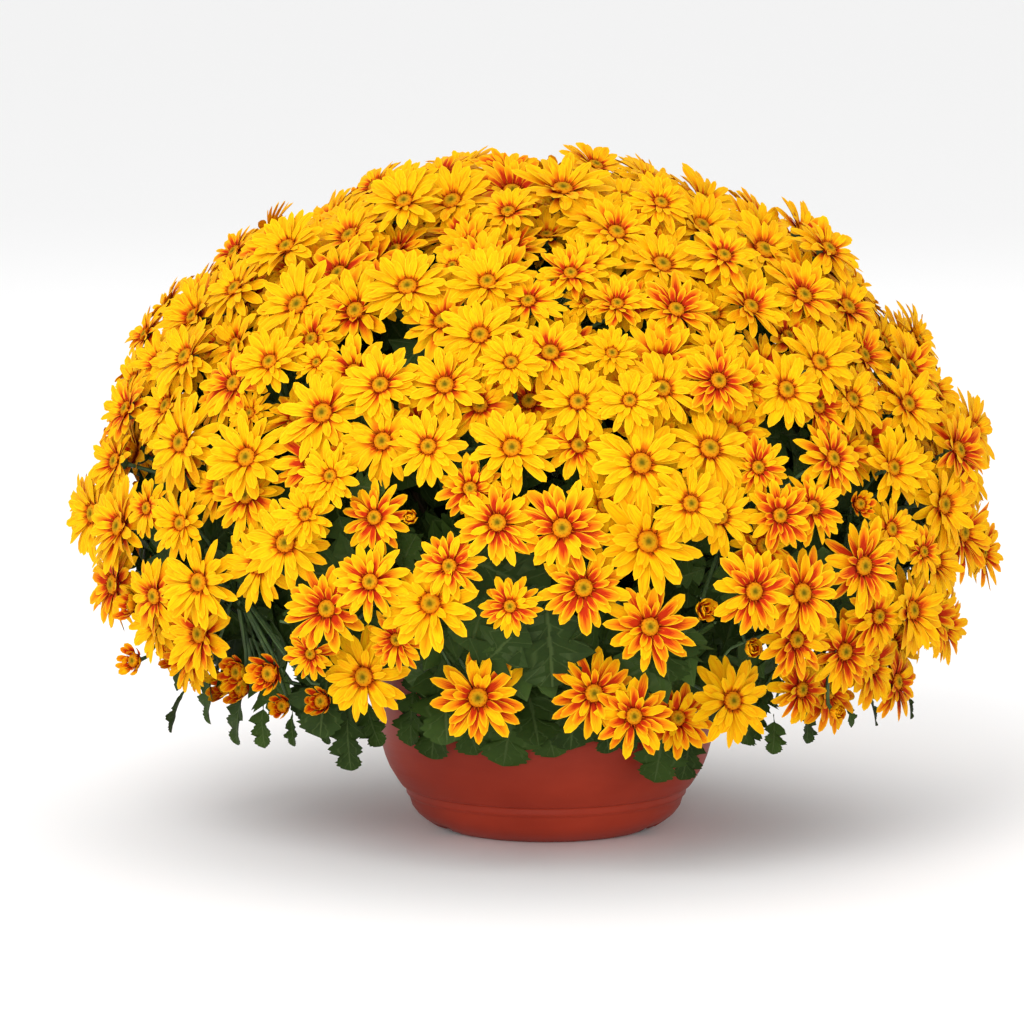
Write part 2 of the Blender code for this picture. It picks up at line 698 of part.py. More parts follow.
def settle_flowers(sprays, core_trees):
    """Lifts or lowers each flower along the canopy's normal until it is clear of those already placed.

    One that finds no room is made smaller, and one that still finds none is left out.
    """
    placed = []
    queue = [(flower, index) for index, spray in enumerate(sprays) for flower in spray]
    queue.sort(key=lambda item: -item[0]["radius"])
    for flower, index in queue:
        flower["spray"] = index
        full = flower["radius"]
        for shrink, lift in itertools.product(SHRINKS, LIFTS):
            flower["radius"] = full * shrink
            flower["centre"] = flower["point"] + flower["normal"] * lift
            if is_clear(flower, placed, core_trees):
                flower["tree"] = tree_of(*flower_shape(flower))
                placed.append(flower)
                break
    return placed


def build_spray(index, flowers, hub, hub_normal, collection, petal_material, stalk_material):
    """A spray in one piece: a hub that is the hull of its stalks' feet, and a flower on each stalk."""
    shape = bmesh.new()
    feet = []
    for flower in flowers:
        points, faces = flower_shape(flower)
        vertices = [shape.verts.new(point) for point in points]
        for face in faces:
            made = shape.faces.new([vertices[i] for i in face])
            made.material_index = PETAL_SLOT if len(points) - 1 in face else STALK_SLOT
        feet.append(set(vertices[:3]))
    lowest = shape.verts.new(hub - hub_normal * HUB_RADIUS)
    corners = [vertex for foot in feet for vertex in foot] + [lowest]
    hull = bmesh.ops.convex_hull(shape, input=corners, use_existing_faces=False)["geom"]
    hub_faces = [face for face in hull if isinstance(face, bmesh.types.BMFace)]
    for face in hub_faces:
        face.material_index = STALK_SLOT
    capped = [face for face in hub_faces if set(face.verts) in feet]
    bmesh.ops.delete(shape, geom=capped, context="FACES_ONLY")
    spray = add_shape("spray_%02d" % (index + 1), shape, collection, petal_material)
    spray.data.materials.append(stalk_material)
    return outward(spray)


def leaf_shape(root, along, up, length, raise_by=0.0, grow=0.0):
    """A lobed leaf: a rhombic stalk that widens into a blade with two lobes a side and a tip."""
    along = along / np.linalg.norm(along)
    across = np.cross(up, along)
    across /= np.linalg.norm(across)
    up = np.cross(along, across)

    def at(way, aside, above):
        lift = LEAF_FOLD * abs(aside) - LEAF_DROOP * length * (way / length) ** 2
        return root + along * way + across * aside + up * (above + lift + raise_by)

    half = LEAF_HALF_THICKNESS
    stalk = LEAF_PETIOLE_HALF_WIDTH
    left = [at(u * length, v * length + grow, 0.0) for u, v in LEAF_OUTLINE]
    right = [at(u * length, -v * length - grow, 0.0) for u, v in LEAF_OUTLINE]
    ring = [at(0.0, stalk, 0.0)] + left + [at(length + grow, 0.0, 0.0)] + right[::-1] + [at(0.0, -stalk, 0.0)]
    points = ring + [at(0.0, 0.0, half), at(0.0, 0.0, -half)]
    points += [at(LEAF_MIDDLE * length, 0.0, half), at(LEAF_MIDDLE * length, 0.0, -half)]
    count = len(ring)
    root_top, root_low, top, low = range(count, count + 4)
    faces = []
    for i in range(count - 1):
        faces.append((i + 1, i, top))
        faces.append((i, i + 1, low))
    faces += [(0, root_top, top), (root_top, count - 1, top), (root_low, 0, low), (count - 1, root_low, low)]
    faces += [(0, root_low, root_top), (count - 1, root_top, root_low)]
    return np.array(points), faces


def leaf_is_clear(leaf, trees):
    shifts = (-2 * PETAL_CLEARANCE, 0.0, 2 * PETAL_CLEARANCE)
    shapes = [tree_of(*leaf_shape(*leaf, shift, PETAL_CLEARANCE)) for shift in shifts]
    return not any(shape.overlap(tree) for shape in shapes for tree in trees)


def sector_of(point):
    """Which stem's wedge a point lies in, and how far it is from the wedge's nearer cut side."""
    azimuth = math.atan2(point[1] - CANOPY_CENTRE[1], point[0] - CANOPY_CENTRE[0])
    share = ((azimuth - stem_azimuth(0)) * STEM_COUNT / (2 * math.pi)) % STEM_COUNT
    index = int(round(share)) % STEM_COUNT
    off = abs(share - round(share)) * 2 * math.pi / STEM_COUNT
    reach = math.hypot(point[0] - CANOPY_CENTRE[0], point[1] - CANOPY_CENTRE[1])
    return index, reach * math.sin(math.pi / STEM_COUNT - off)


def skirt_leaves(rng):
    """Roots and ways to try for the leaves that hang from the core's lower edge, over the pan's rim."""
    for reach, height, count, droop in SKIRT_RINGS:
        for index in range(count):
            azimuth = 2 * math.pi * (index + rng.uniform(-SKIRT_SCATTER, SKIRT_SCATTER)) / count
            out = np.array((math.cos(azimuth), math.sin(azimuth), 0.0))
            side = np.array((-out[1], out[0], 0.0))
            root = CANOPY_CENTRE + out * (reach - LEAF_ROOT_DEPTH)
            root[2] = height + LEAF_ROOT_DEPTH
            ways = []
            for _ in range(LEAF_TRIES):
                turn = rng.uniform(-SKIRT_TURN, SKIRT_TURN)
                sink = droop + rng.uniform(-SKIRT_SCATTER, SKIRT_SCATTER)
                flat = out * math.cos(turn) + side * math.sin(turn)
                along = flat * math.cos(sink) + UP * math.sin(sink)
                up = UP * math.cos(sink) - flat * math.sin(sink)
                ways.append((along, up, rng.uniform(*LEAF_LENGTH_RANGE)))
            yield root, ways


def inner_leaves(rng, core_trees):
    """Roots and ways to try for the leaves that stand on the core among the flower stalks."""
    roots = []
    while len(roots) < INNER_LEAVES:
        direction = rng.normal(size=3)
        start = canopy_along((direction / np.linalg.norm(direction))[None])[0]
        inward = -Vector(canopy_normal(start))
        place, normal, _, _ = core_trees[sector_of(start)[0]].ray_cast(Vector(start), inward)
        if place is None or start[2] < INNER_LEAF_LOWEST:
            continue
        root = np.array(place)
        if roots and np.linalg.norm(np.array(roots) - root, axis=1).min() < INNER_LEAF_SPACING:
            continue
        roots.append(root)
        side, across, normal = frame_of(normal)
        ways = []
        for _ in range(LEAF_TRIES):
            turn = rng.uniform(0, 2 * math.pi)
            rise = rng.uniform(*INNER_LEAF_RISE)
            flat = side * math.cos(turn) + across * math.sin(turn)
            along = flat * math.cos(rise) + normal * math.sin(rise)
            ways.append((along, normal * math.cos(rise) - flat * math.sin(rise), rng.uniform(*LEAF_LENGTH_RANGE)))
        yield root - normal * LEAF_ROOT_DEPTH, ways


def place_leaves(core_trees, others):
    """Each stem's leaves: each takes the first of its ways that is clear of all else, or is left out."""
    rng = np.random.default_rng(LEAF_SEED)
    leaves = [[] for _ in range(STEM_COUNT)]
    taken = list(others)
    for root, ways in itertools.chain(skirt_leaves(rng), inner_leaves(rng, core_trees)):
        sector, margin = sector_of(root)
        if margin < LEAF_ROOT_MARGIN:
            continue
        rivals = taken + [tree for index, tree in enumerate(core_trees) if index != sector]
        for along, up, length in ways:
            leaf = (root, along, up, length)
            if leaf_is_clear(leaf, rivals):
                leaves[sector].append(leaf)
                taken.append(tree_of(*leaf_shape(*leaf)))
                break
    return leaves


def build_stem(index, collection, material):
    """A woody stem from its hole in the soil up into its wedge of foliage."""
    out = np.array((math.cos(stem_azimuth(index)), math.sin(stem_azimuth(index)), 0.0))
    route = ((STEM_FROM_AXIS, SOIL_HEIGHT - STEM_ROOT_DEPTH),) + STEM_ROUTE
    curve = bpy.data.curves.new("stem", "CURVE")
    curve.dimensions = "3D"
    curve.bevel_depth = STEM_RADIUS
    curve.bevel_resolution = 1
    curve.use_fill_caps = True
    spline = curve.splines.new("POLY")
    spline.points.add(len(route) - 1)
    for point, (reach, height) in zip(spline.points, route):
        point.co = (*(out * reach + UP * height), 1.0)
    tube = bpy.data.objects.new("stem", curve)
    collection.objects.link(tube)
    graph = bpy.context.evaluated_depsgraph_get()
    shape = bmesh.new()
    shape.from_mesh(bpy.data.meshes.new_from_object(tube.evaluated_get(graph)))
    bpy.data.objects.remove(tube, do_unlink=True)
    bmesh.ops.remove_doubles(shape, verts=shape.verts, dist=MERGE_DISTANCE)
    return outward(add_shape("stem", shape, collection, material), triangles=True)


def build_leafy_stem(index, wedge, leaves, collection, material):
    """A leafy stem in one piece: its foliage core, its woody stem and its leaves."""
    wedge.name = "leafy_stem_%d" % (index + 1)
    parts = [build_stem(index, collection, material)]
    parts += [add_mesh("leaf", *leaf_shape(*leaf), collection, material) for leaf in leaves]
    boolean(wedge, parts, "UNION")
    return outward(largest_body(wedge), triangles=True)


def main():
    clear_scene()
    plant = new_collection("pot_chrysanthemum")
    pan_material = new_material("terracotta_plastic", PAN_COLOUR, 0.38)
    soil_material = new_material("potting_soil", SOIL_COLOUR, 0.95)
    leaf_material = new_material("leaf_green", LEAF_COLOUR, 0.60)
    petal_material = new_material("petal_yellow", PETAL_COLOUR, 0.55)
    build_pan(plant, pan_material)
    build_soil(plant, soil_material)
    wedges = [build_core_wedge(index, plant, leaf_material) for index in range(STEM_COUNT)]
    core_trees = [tree_of_object(wedge) for wedge in wedges]
    sprays = group_in_sprays(place_flowers())
    seats = [seat_hub(spray, core_trees) for spray in sprays]
    for spray, (hub, normal) in zip(sprays, seats):
        start_stalks(spray, hub, normal)
    placed = settle_flowers(sprays, core_trees)
    built = []
    for index, (hub, normal) in enumerate(seats):
        flowers = [flower for flower in placed if flower["spray"] == index]
        built.append(build_spray(index, flowers, hub, normal, plant, petal_material, leaf_material))
    pan_tree = tree_of_object(bpy.data.objects["pan"])
    leaves = place_leaves(core_trees, [pan_tree] + [tree_of_object(spray) for spray in built])
    for index, wedge in enumerate(wedges):
        build_leafy_stem(index, wedge, leaves[index], plant, leaf_material)


main()
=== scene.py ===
"""Looks of the pot chrysanthemum: petals, discs, stalks, leaves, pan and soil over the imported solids.

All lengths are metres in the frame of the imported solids, with +Z up and the plant's best side towards -Y.
Every flower and every large leaf is read from the solid that it replaces, so it stays where that solid is.
"""

import json
import logging
import math
from collections.abc import Callable, Sequence
from dataclasses import dataclass, field
from enum import Enum

import bpy
import numpy as np
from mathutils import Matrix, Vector

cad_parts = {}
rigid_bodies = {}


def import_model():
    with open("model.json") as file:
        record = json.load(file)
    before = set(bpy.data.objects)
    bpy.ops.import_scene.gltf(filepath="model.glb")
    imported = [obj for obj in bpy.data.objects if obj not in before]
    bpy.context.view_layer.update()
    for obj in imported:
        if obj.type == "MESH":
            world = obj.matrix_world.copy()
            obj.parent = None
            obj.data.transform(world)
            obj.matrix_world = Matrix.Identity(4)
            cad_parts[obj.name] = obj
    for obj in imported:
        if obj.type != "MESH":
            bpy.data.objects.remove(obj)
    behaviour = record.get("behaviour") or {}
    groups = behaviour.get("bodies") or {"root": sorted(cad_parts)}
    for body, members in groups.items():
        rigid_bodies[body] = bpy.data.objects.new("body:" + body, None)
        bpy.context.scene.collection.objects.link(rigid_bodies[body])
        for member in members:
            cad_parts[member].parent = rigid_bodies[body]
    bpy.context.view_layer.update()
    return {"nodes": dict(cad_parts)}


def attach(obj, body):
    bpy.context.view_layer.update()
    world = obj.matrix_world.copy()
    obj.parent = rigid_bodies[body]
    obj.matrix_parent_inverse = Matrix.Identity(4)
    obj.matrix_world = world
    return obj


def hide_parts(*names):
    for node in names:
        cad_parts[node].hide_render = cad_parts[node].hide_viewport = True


LOG = logging.getLogger("pot_chrysanthemum")

ROOT_BODY = "root"
UP = np.array((0.0, 0.0, 1.0))
BACK = np.array((0.0, 1.0, 0.0))

# From one point of a sunflower spiral to the next, in half turns
SPIRAL_TURN = 3 - math.sqrt(5)
STEM_COUNT = 5
PLANT_MIDDLE = np.array((-0.008, 0.0, 0.150))
MM = 1000.0

# Vectors shorter than the first aren't made one long, and an axis counts as upright past the second
LEAST_LENGTH = 1e-9
STEEP = 0.9

# Pixels added for a flower that looks away from the view, so that it isn't taken for the nearest
TURNED_AWAY = 1000.0

# The first seeds of the random draws
SOIL_SEED = 5
BLUSH_SEED = 9
INFILL_SEED = 21
HANGING_SEED = 31
GAP_SEED = 41
SPRAY_SEED = 100
STEM_SEED = 300

# A point is on a blade's margin past the first value across it, and at its tip past the second along it
MARGIN_FROM = 0.98
TIP_FROM = 0.995

# The photograph's camera
VIEW_FROM = np.array((-0.020, -3.000, 0.583))
VIEW_AT = np.array((-0.020, 0.000, 0.183))
VIEW_LENS = 183.0
VIEW_SENSOR = 36.0
FRAME_SIDE = 1024.0


class Slot(Enum):
    """The record's material slots."""

    PAN = "pan"
    SOIL = "soil"
    FOLIAGE = "foliage"
    FLOWERS = "flowers"


class Mark(Enum):
    """Values that each point of a piece carries for its material."""

    ALONG = "along"
    ACROSS = "across"
    BLUSH = "blush"
    TINT = "tint"
    UNDER = "under"


Array = np.ndarray
Random = np.random.Generator
Object = bpy.types.Object
Material = bpy.types.Material
Socket = bpy.types.NodeSocket
Value = Socket | float
Pair = tuple[float, float]
Colour = tuple[float, float, float]
Finishes = dict[str, Material]


class Graph:
    """A material's node tree, with short calls for the nodes that the finishes share."""

    def __init__(self, name: str) -> None:
        """Makes a material of the name, with its shader and output."""
        self.material = bpy.data.materials.new(name)
        self.material.use_nodes = True
        self.tree = self.material.node_tree
        self.shader = next(node for node in self.tree.nodes if node.type == "BSDF_PRINCIPLED")

    def node(self, kind: str, **settings: object) -> bpy.types.Node:
        """Adds a node of a kind, with its settings."""
        made = self.tree.nodes.new(kind)
        for setting, value in settings.items():
            setattr(made, setting, value)
        return made

    def feed(self, socket: Socket, value: Value | Colour) -> None:
        """Links a socket to another, or sets its constant."""
        if isinstance(value, Socket):
            self.tree.links.new(value, socket)
        elif isinstance(value, tuple) and len(value) == 3 and socket.type == "RGBA":
            socket.default_value = (*value, 1.0)
        else:
            socket.default_value = value

    def mark(self, mark: Mark) -> Socket:
        """Reads one of the piece's marks."""
        return self.node("ShaderNodeAttribute", attribute_name=mark.value).outputs["Fac"]

    def place(self) -> Socket:
        """Reads the point's place in the object."""
        return self.node("ShaderNodeTexCoord").outputs["Object"]

    def math(self, operation: str, first: Value, second: Value = 0.0, clamp: bool = False) -> Socket:
        """Works out one operation on two values.

        Args:
            operation: the Math node's operation.
            first: its first value.
            second: its second value, where it takes one.
            clamp: whether the result stays between 0 and 1.

        Returns:
            The result's socket.
        """
        made = self.node("ShaderNodeMath", operation=operation, use_clamp=clamp)
        self.feed(made.inputs[0], first)
        self.feed(made.inputs[1], second)
        return made.outputs[0]

    def times(self, first: Value, second: Value) -> Socket:
        """The product of two values."""
        return self.math("MULTIPLY", first, second)

    def plus(self, first: Value, second: Value) -> Socket:
        """The sum of two values."""
        return self.math("ADD", first, second)

    def minus(self, first: Value, second: Value) -> Socket:
        """The first value less the second."""
        return self.math("SUBTRACT", first, second)

    def ease(self, value: Socket, low: float, high: float) -> Socket:
        """A smooth step.

        Args:
            value: what it depends on.
            low: the value up to which it is 0.
            high: the value from which it is 1.

        Returns:
            The step's socket.
        """
        made = self.node("ShaderNodeMapRange", interpolation_type="SMOOTHSTEP")
        self.feed(made.inputs["Value"], value)
        made.inputs["From Min"].default_value = low
        made.inputs["From Max"].default_value = high
        return made.outputs["Result"]

    def fall(self, value: Socket, low: float, high: float) -> Socket:
        """A smooth step down, 1 up to low and 0 from high."""
        return self.minus(1.0, self.ease(value, low, high))

    def vector(self, x: Value, y: Value, z: Value) -> Socket:
        """Joins three values, x, y and z, in a vector and returns its socket."""
        made = self.node("ShaderNodeCombineXYZ")
        for socket, value in zip(made.inputs, (x, y, z)):
            self.feed(socket, value)
        return made.outputs[0]

    def stretched(self, vector: Socket, scale: Colour) -> Socket:
        """Scales a vector along each axis and returns the scaled vector's socket."""
        made = self.node("ShaderNodeMapping")
        self.feed(made.inputs["Vector"], vector)
        made.inputs["Scale"].default_value = scale
        return made.outputs["Vector"]

    def noise(self, vector: Socket, scale: float, detail: float = 2.0, roughness: float = 0.5) -> Socket:
        """Soft noise between 0 and 1.

        Args:
            vector: where it is read.
            scale: how many waves a unit of the vector holds.
            detail: how many finer layers it has.
            roughness: how strong the finer layers are.

        Returns:
            The noise's socket.
        """
        made = self.node("ShaderNodeTexNoise")
        self.feed(made.inputs["Vector"], vector)
        made.inputs["Scale"].default_value = scale
        made.inputs["Detail"].default_value = detail
        made.inputs["Roughness"].default_value = roughness
        return made.outputs["Fac"]

    def cells(self, vector: Socket, scale: float) -> Socket:
        """Returns the distance to the nearest of many points scattered at a scale."""
        made = self.node("ShaderNodeTexVoronoi")
        self.feed(made.inputs["Vector"], vector)
        made.inputs["Scale"].default_value = scale
        return made.outputs["Distance"]

    def mix(self, share: Value, first: Socket | Colour, second: Socket | Colour) -> Socket:
        """Blends two colours.

        Args:
            share: how much of the second colour shows.
            first: the first colour.
            second: the second colour.

        Returns:
            The blend's socket.
        """
        made = self.node("ShaderNodeMix", data_type="RGBA")
        self.feed(made.inputs[0], share)
        # The node's colour inputs are its inputs 6 and 7, and its colour output is number 2
        self.feed(made.inputs[6], first)
        self.feed(made.inputs[7], second)
        return made.outputs[2]

    def bump(self, height: Socket, strength: float, distance: float) -> None:
        """Gives the shader a relief from a height, with its strength and its depth in metres."""
        made = self.node("ShaderNodeBump")
        made.inputs["Strength"].default_value = strength
        made.inputs["Distance"].default_value = distance
        self.feed(made.inputs["Height"], height)
        self.tree.links.new(made.outputs["Normal"], self.shader.inputs["Normal"])

    def surface(self, colour: Socket, roughness: Value, **constants: float) -> Material:
        """Sets the shader's colour, roughness and constants, and gives the material.

        Args:
            colour: the base colour's socket.
            roughness: the roughness, as a socket or a number.
            constants: other shader inputs, with _ for each space.

        Returns:
            The finished material.
        """
        self.feed(self.shader.inputs["Base Color"], colour)
        self.feed(self.shader.inputs["Roughness"], roughness)
        for name, value in constants.items():
            self.shader.inputs[name.replace("_", " ")].default_value = value
        return self.material


class PetalFinish:
    """Soft matt petals: clear yellow with an orange halo and a red tongue from the root, and a pale margin.

    The mark BLUSH says how far out the tongue reaches.
    """

    yellow = (0.795, 0.430, 0.0004)
    deep_yellow = (0.765, 0.300, 0.0004)
    orange = (0.680, 0.088, 0.0008)
    red = (0.430, 0.021, 0.0010)
    deep_red = (0.230, 0.008, 0.0010)
    margin = (0.880, 0.560, 0.010)
    underside = (0.860, 0.350, 0.001)
    roughness = 0.75
    specular = 0.08
    tint_spread = 91.0
    streak_width = 3.4
    streak_scale = 2.2
    streak_steps = (0.48, 0.72)
    streak_share = 0.55
    cloud_length = 2.0
    cloud_scale = 1.1
    cloud_steps = (0.35, 0.75)
    cloud_share = 0.60
    tongue_least = 0.20
    tongue_growth = 0.70
    tongue_narrowing = 0.50
    tongue_raggedness = 0.95
    halo_steps = (0.80, 1.45)
    halo_share = 0.72
    core_steps = (0.55, 0.98)
    core_blush_steps = (0.05, 0.50)
    core_least = 0.15
    root_steps = (0.06, 0.26)
    root_share = (0.40, 0.6)
    margin_steps = (0.76, 0.98)
    margin_tip_steps = (0.90, 1.00)
    margin_root_steps = (0.20, 0.50)
    margin_share = 0.60
    under_share = (0.25, 0.4)
    groove_turns = 9.4
    groove_height = 0.5
    relief = (0.22, 0.0003)

    def material(self) -> Material:
        """Builds the material from the petal's own marks."""
        graph = Graph("petal_satin")
        along = graph.mark(Mark.ALONG)
        side = graph.mark(Mark.ACROSS)
        across = graph.math("ABSOLUTE", side)
        blush = graph.mark(Mark.BLUSH)
        own = graph.times(graph.mark(Mark.TINT), self.tint_spread)
        stripes = graph.vector(graph.times(side, self.streak_width), along, own)
        streaks = graph.noise(stripes, self.streak_scale, 2.0)
        patches = graph.vector(side, graph.times(along, self.cloud_length), own)
        clouds = graph.noise(patches, self.cloud_scale, 1.0)
        shade = graph.times(graph.ease(clouds, *self.cloud_steps), self.cloud_share)
        colour = graph.mix(shade, self.yellow, self.deep_yellow)
        streaked = graph.times(graph.ease(streaks, *self.streak_steps), self.streak_share)
        colour = graph.mix(streaked, colour, self.orange)
        reach = graph.plus(graph.times(blush, self.tongue_growth), self.tongue_least)
        tongue = graph.math("DIVIDE", along, reach)
        narrowing = graph.times(graph.math("POWER", across, 2.0), self.tongue_narrowing)
        tongue = graph.plus(tongue, narrowing)
        tongue = graph.plus(tongue, graph.times(graph.minus(streaks, 0.5), self.tongue_raggedness))
        halo = graph.fall(tongue, *self.halo_steps)
        colour = graph.mix(graph.times(halo, self.halo_share), colour, self.orange)
        core = graph.fall(tongue, *self.core_steps)
        strength = graph.plus(graph.ease(blush, *self.core_blush_steps), self.core_least)
        colour = graph.mix(graph.math("MULTIPLY", core, strength, True), colour, self.red)
        root = graph.fall(along, *self.root_steps)
        strength = graph.plus(graph.times(blush, self.root_share[1]), self.root_share[0])
        colour = graph.mix(graph.math("MULTIPLY", root, strength, True), colour, self.deep_red)
        at_side = graph.ease(across, *self.margin_steps)
        edge = graph.math("MAXIMUM", at_side, graph.ease(along, *self.margin_tip_steps))
        edge = graph.times(edge, graph.ease(along, *self.margin_root_steps))
        colour = graph.mix(graph.times(edge, self.margin_share), colour, self.margin)
        under = graph.plus(graph.times(blush, self.under_share[1]), self.under_share[0])
        colour = graph.mix(graph.times(graph.mark(Mark.UNDER), under), colour, self.underside)
        grooves = graph.math("COSINE", graph.times(across, self.groove_turns))
        graph.bump(graph.plus(graph.times(grooves, self.groove_height), streaks), *self.relief)
        return graph.surface(colour, self.roughness, Specular_IOR_Level=self.specular)


class DiscFinish:
    """The disc of tight florets: olive green in the middle, gold round it, and dark red at its edge."""

    green = (0.115, 0.085, 0.003)
    gold = (0.48, 0.240, 0.005)
    orange = (0.72, 0.18, 0.002)
    ring = (0.24, 0.010, 0.001)
    gold_steps = (0.05, 0.50)
    orange_steps = (0.45, 0.80)
    orange_share = 0.6
    ring_steps = (0.84, 0.94)
    grain_scale = 1500.0
    relief = (0.5, 0.0003)
    roughness = 0.85
    specular = 0.04

    def material(self) -> Material:
        """Builds the material from the distance to the disc's middle and the florets' own mark."""
        graph = Graph("disc_florets")
        along = graph.mark(Mark.ALONG)
        colour = graph.mix(graph.ease(along, *self.gold_steps), self.green, self.gold)
        outer = graph.times(graph.ease(along, *self.orange_steps), self.orange_share)
        colour = graph.mix(outer, colour, self.orange)
        colour = graph.mix(graph.ease(along, *self.ring_steps), colour, self.ring)
        colour = graph.mix(graph.mark(Mark.TINT), colour, self.orange)
        graph.bump(graph.cells(graph.place(), self.grain_scale), *self.relief)
        return graph.surface(colour, self.roughness, Specular_IOR_Level=self.specular)


class LeafFinish:
    """Matt, slightly downy leaves with paler veins and a grey-green underside."""

    dark = (0.009, 0.020, 0.0030)
    fresh = (0.046, 0.088, 0.0120)
    vein = (0.070, 0.105, 0.030)
    underside = (0.052, 0.080, 0.026)
    mottle_noise = (130.0, 4.0, 0.6)
    vein_count = 6.5
    vein_sweep = 0.16
    vein_steps = (0.0, 0.12)
    midrib_steps = (0.02, 0.10)
    side_vein_share = 0.55
    vein_share = 0.60
    under_share = 0.7
    vein_depth = 1.4
    relief = (0.45, 0.0007)
    roughness = 0.66
    specular = 0.11

    def material(self) -> Material:
        """Builds the material from the leaf's own marks, along and across the blade."""
        graph = Graph("leaf_matt")
        along = graph.mark(Mark.ALONG)
        across = graph.math("ABSOLUTE", graph.mark(Mark.ACROSS))
        tint = graph.mark(Mark.TINT)
        mottle = graph.noise(graph.place(), *self.mottle_noise)
        colour = graph.mix(graph.times(graph.plus(tint, mottle), 0.5), self.dark, self.fresh)
        ribs = graph.times(graph.minus(along, graph.times(across, self.vein_sweep)), self.vein_count)
        ribs = graph.math("ABSOLUTE", graph.minus(graph.math("FRACT", ribs), 0.5))
        ribs = graph.fall(ribs, *self.vein_steps)
        midrib = graph.fall(across, *self.midrib_steps)
        veins = graph.math("MAXIMUM", graph.times(ribs, self.side_vein_share), midrib)
        colour = graph.mix(graph.times(veins, self.vein_share), colour, self.vein)
        colour = graph.mix(graph.times(graph.mark(Mark.UNDER), self.under_share), colour, self.underside)
        graph.bump(graph.minus(mottle, graph.times(veins, self.vein_depth)), *self.relief)
        return graph.surface(colour, self.roughness, Specular_IOR_Level=self.specular)


class StalkFinish:
    """Ribbed green stalks that turn brown and woody towards the soil."""

    green = (0.075, 0.130, 0.035)
    dull = (0.040, 0.075, 0.024)
    wood = (0.110, 0.070, 0.034)
    grain_stretch = (1.0, 1.0, 0.2)
    grain_scale = 420.0
    grain_steps = (0.35, 0.7)
    wood_steps = (0.05, 0.6)
    relief = (0.4, 0.0005)
    roughness = 0.6
    specular = 0.35

    def material(self) -> Material:
        """Builds the material: the mark ALONG is 0 in the wood and 1 in the soft growth."""
        graph = Graph("stalk_ribbed")
        grain = graph.noise(graph.stretched(graph.place(), self.grain_stretch), self.grain_scale, 3.0)
        colour = graph.mix(graph.ease(grain, *self.grain_steps), self.dull, self.green)
        colour = graph.mix(graph.ease(graph.mark(Mark.ALONG), *self.wood_steps), self.wood, colour)
        graph.bump(grain, *self.relief)
        return graph.surface(colour, self.roughness, Specular_IOR_Level=self.specular)


class PanFinish:
    """Satin terracotta-red plastic with a moulded sheen, a little dust and fine scuffs."""

    red = (0.355, 0.036, 0.0150)
    deep = (0.240, 0.022, 0.0095)
    dust = (0.400, 0.085, 0.048)
    cloud_stretch = (1.0, 1.0, 2.2)
    cloud_noise = (9.0, 4.0, 0.55)
    cloud_steps = (0.30, 0.75)
    speck_noise = (900.0, 2.0, 0.6)
    speck_steps = (0.60, 0.80)
    dust_share = 0.10
    scuff_stretch = (1.0, 1.0, 14.0)
    scuff_noise = (38.0, 5.0, 0.65)
    roughness = (0.34, 0.16)
    speck_height = 0.3
    relief = (0.07, 0.0006)
    specular = 0.16

    def material(self) -> Material:
        """Builds the material on the pan's own coordinates."""
        graph = Graph("pan_satin_plastic")
        place = graph.place()
        clouds = graph.noise(graph.stretched(place, self.cloud_stretch), *self.cloud_noise)
        colour = graph.mix(graph.ease(clouds, *self.cloud_steps), self.deep, self.red)
        specks = graph.noise(place, *self.speck_noise)
        dusty = graph.times(graph.ease(specks, *self.speck_steps), self.dust_share)
        colour = graph.mix(dusty, colour, self.dust)
        scuffs = graph.noise(graph.stretched(place, self.scuff_stretch), *self.scuff_noise)
        roughness = graph.plus(graph.times(scuffs, self.roughness[1]), self.roughness[0])
        graph.bump(graph.plus(graph.times(specks, self.speck_height), scuffs), *self.relief)
        return graph.surface(colour, roughness, Specular_IOR_Level=self.specular)


class SoilFinish:
    """Dark peat with pale crumbs of bark and grit."""

    peat = (0.020, 0.012, 0.008)
    crumb = (0.070, 0.042, 0.024)
    grit = (0.45, 0.42, 0.36)
    crumb_noise = (260.0, 5.0, 0.7)
    crumb_steps = (0.40, 0.68)
    grit_scale = 170.0
    grit_steps = (0.10, 0.16)
    relief = (0.9, 0.0025)
    roughness = 0.95

    def material(self) -> Material:
        """Builds the material on the soil's own coordinates."""
        graph = Graph("potting_soil")
        place = graph.place()
        crumbs = graph.noise(place, *self.crumb_noise)
        colour = graph.mix(graph.ease(crumbs, *self.crumb_steps), self.peat, self.crumb)
        grains = graph.cells(place, self.grit_scale)
        colour = graph.mix(graph.fall(grains, *self.grit_steps), colour, self.grit)
        graph.bump(graph.minus(crumbs, grains), *self.relief)
        return graph.surface(colour, self.roughness)


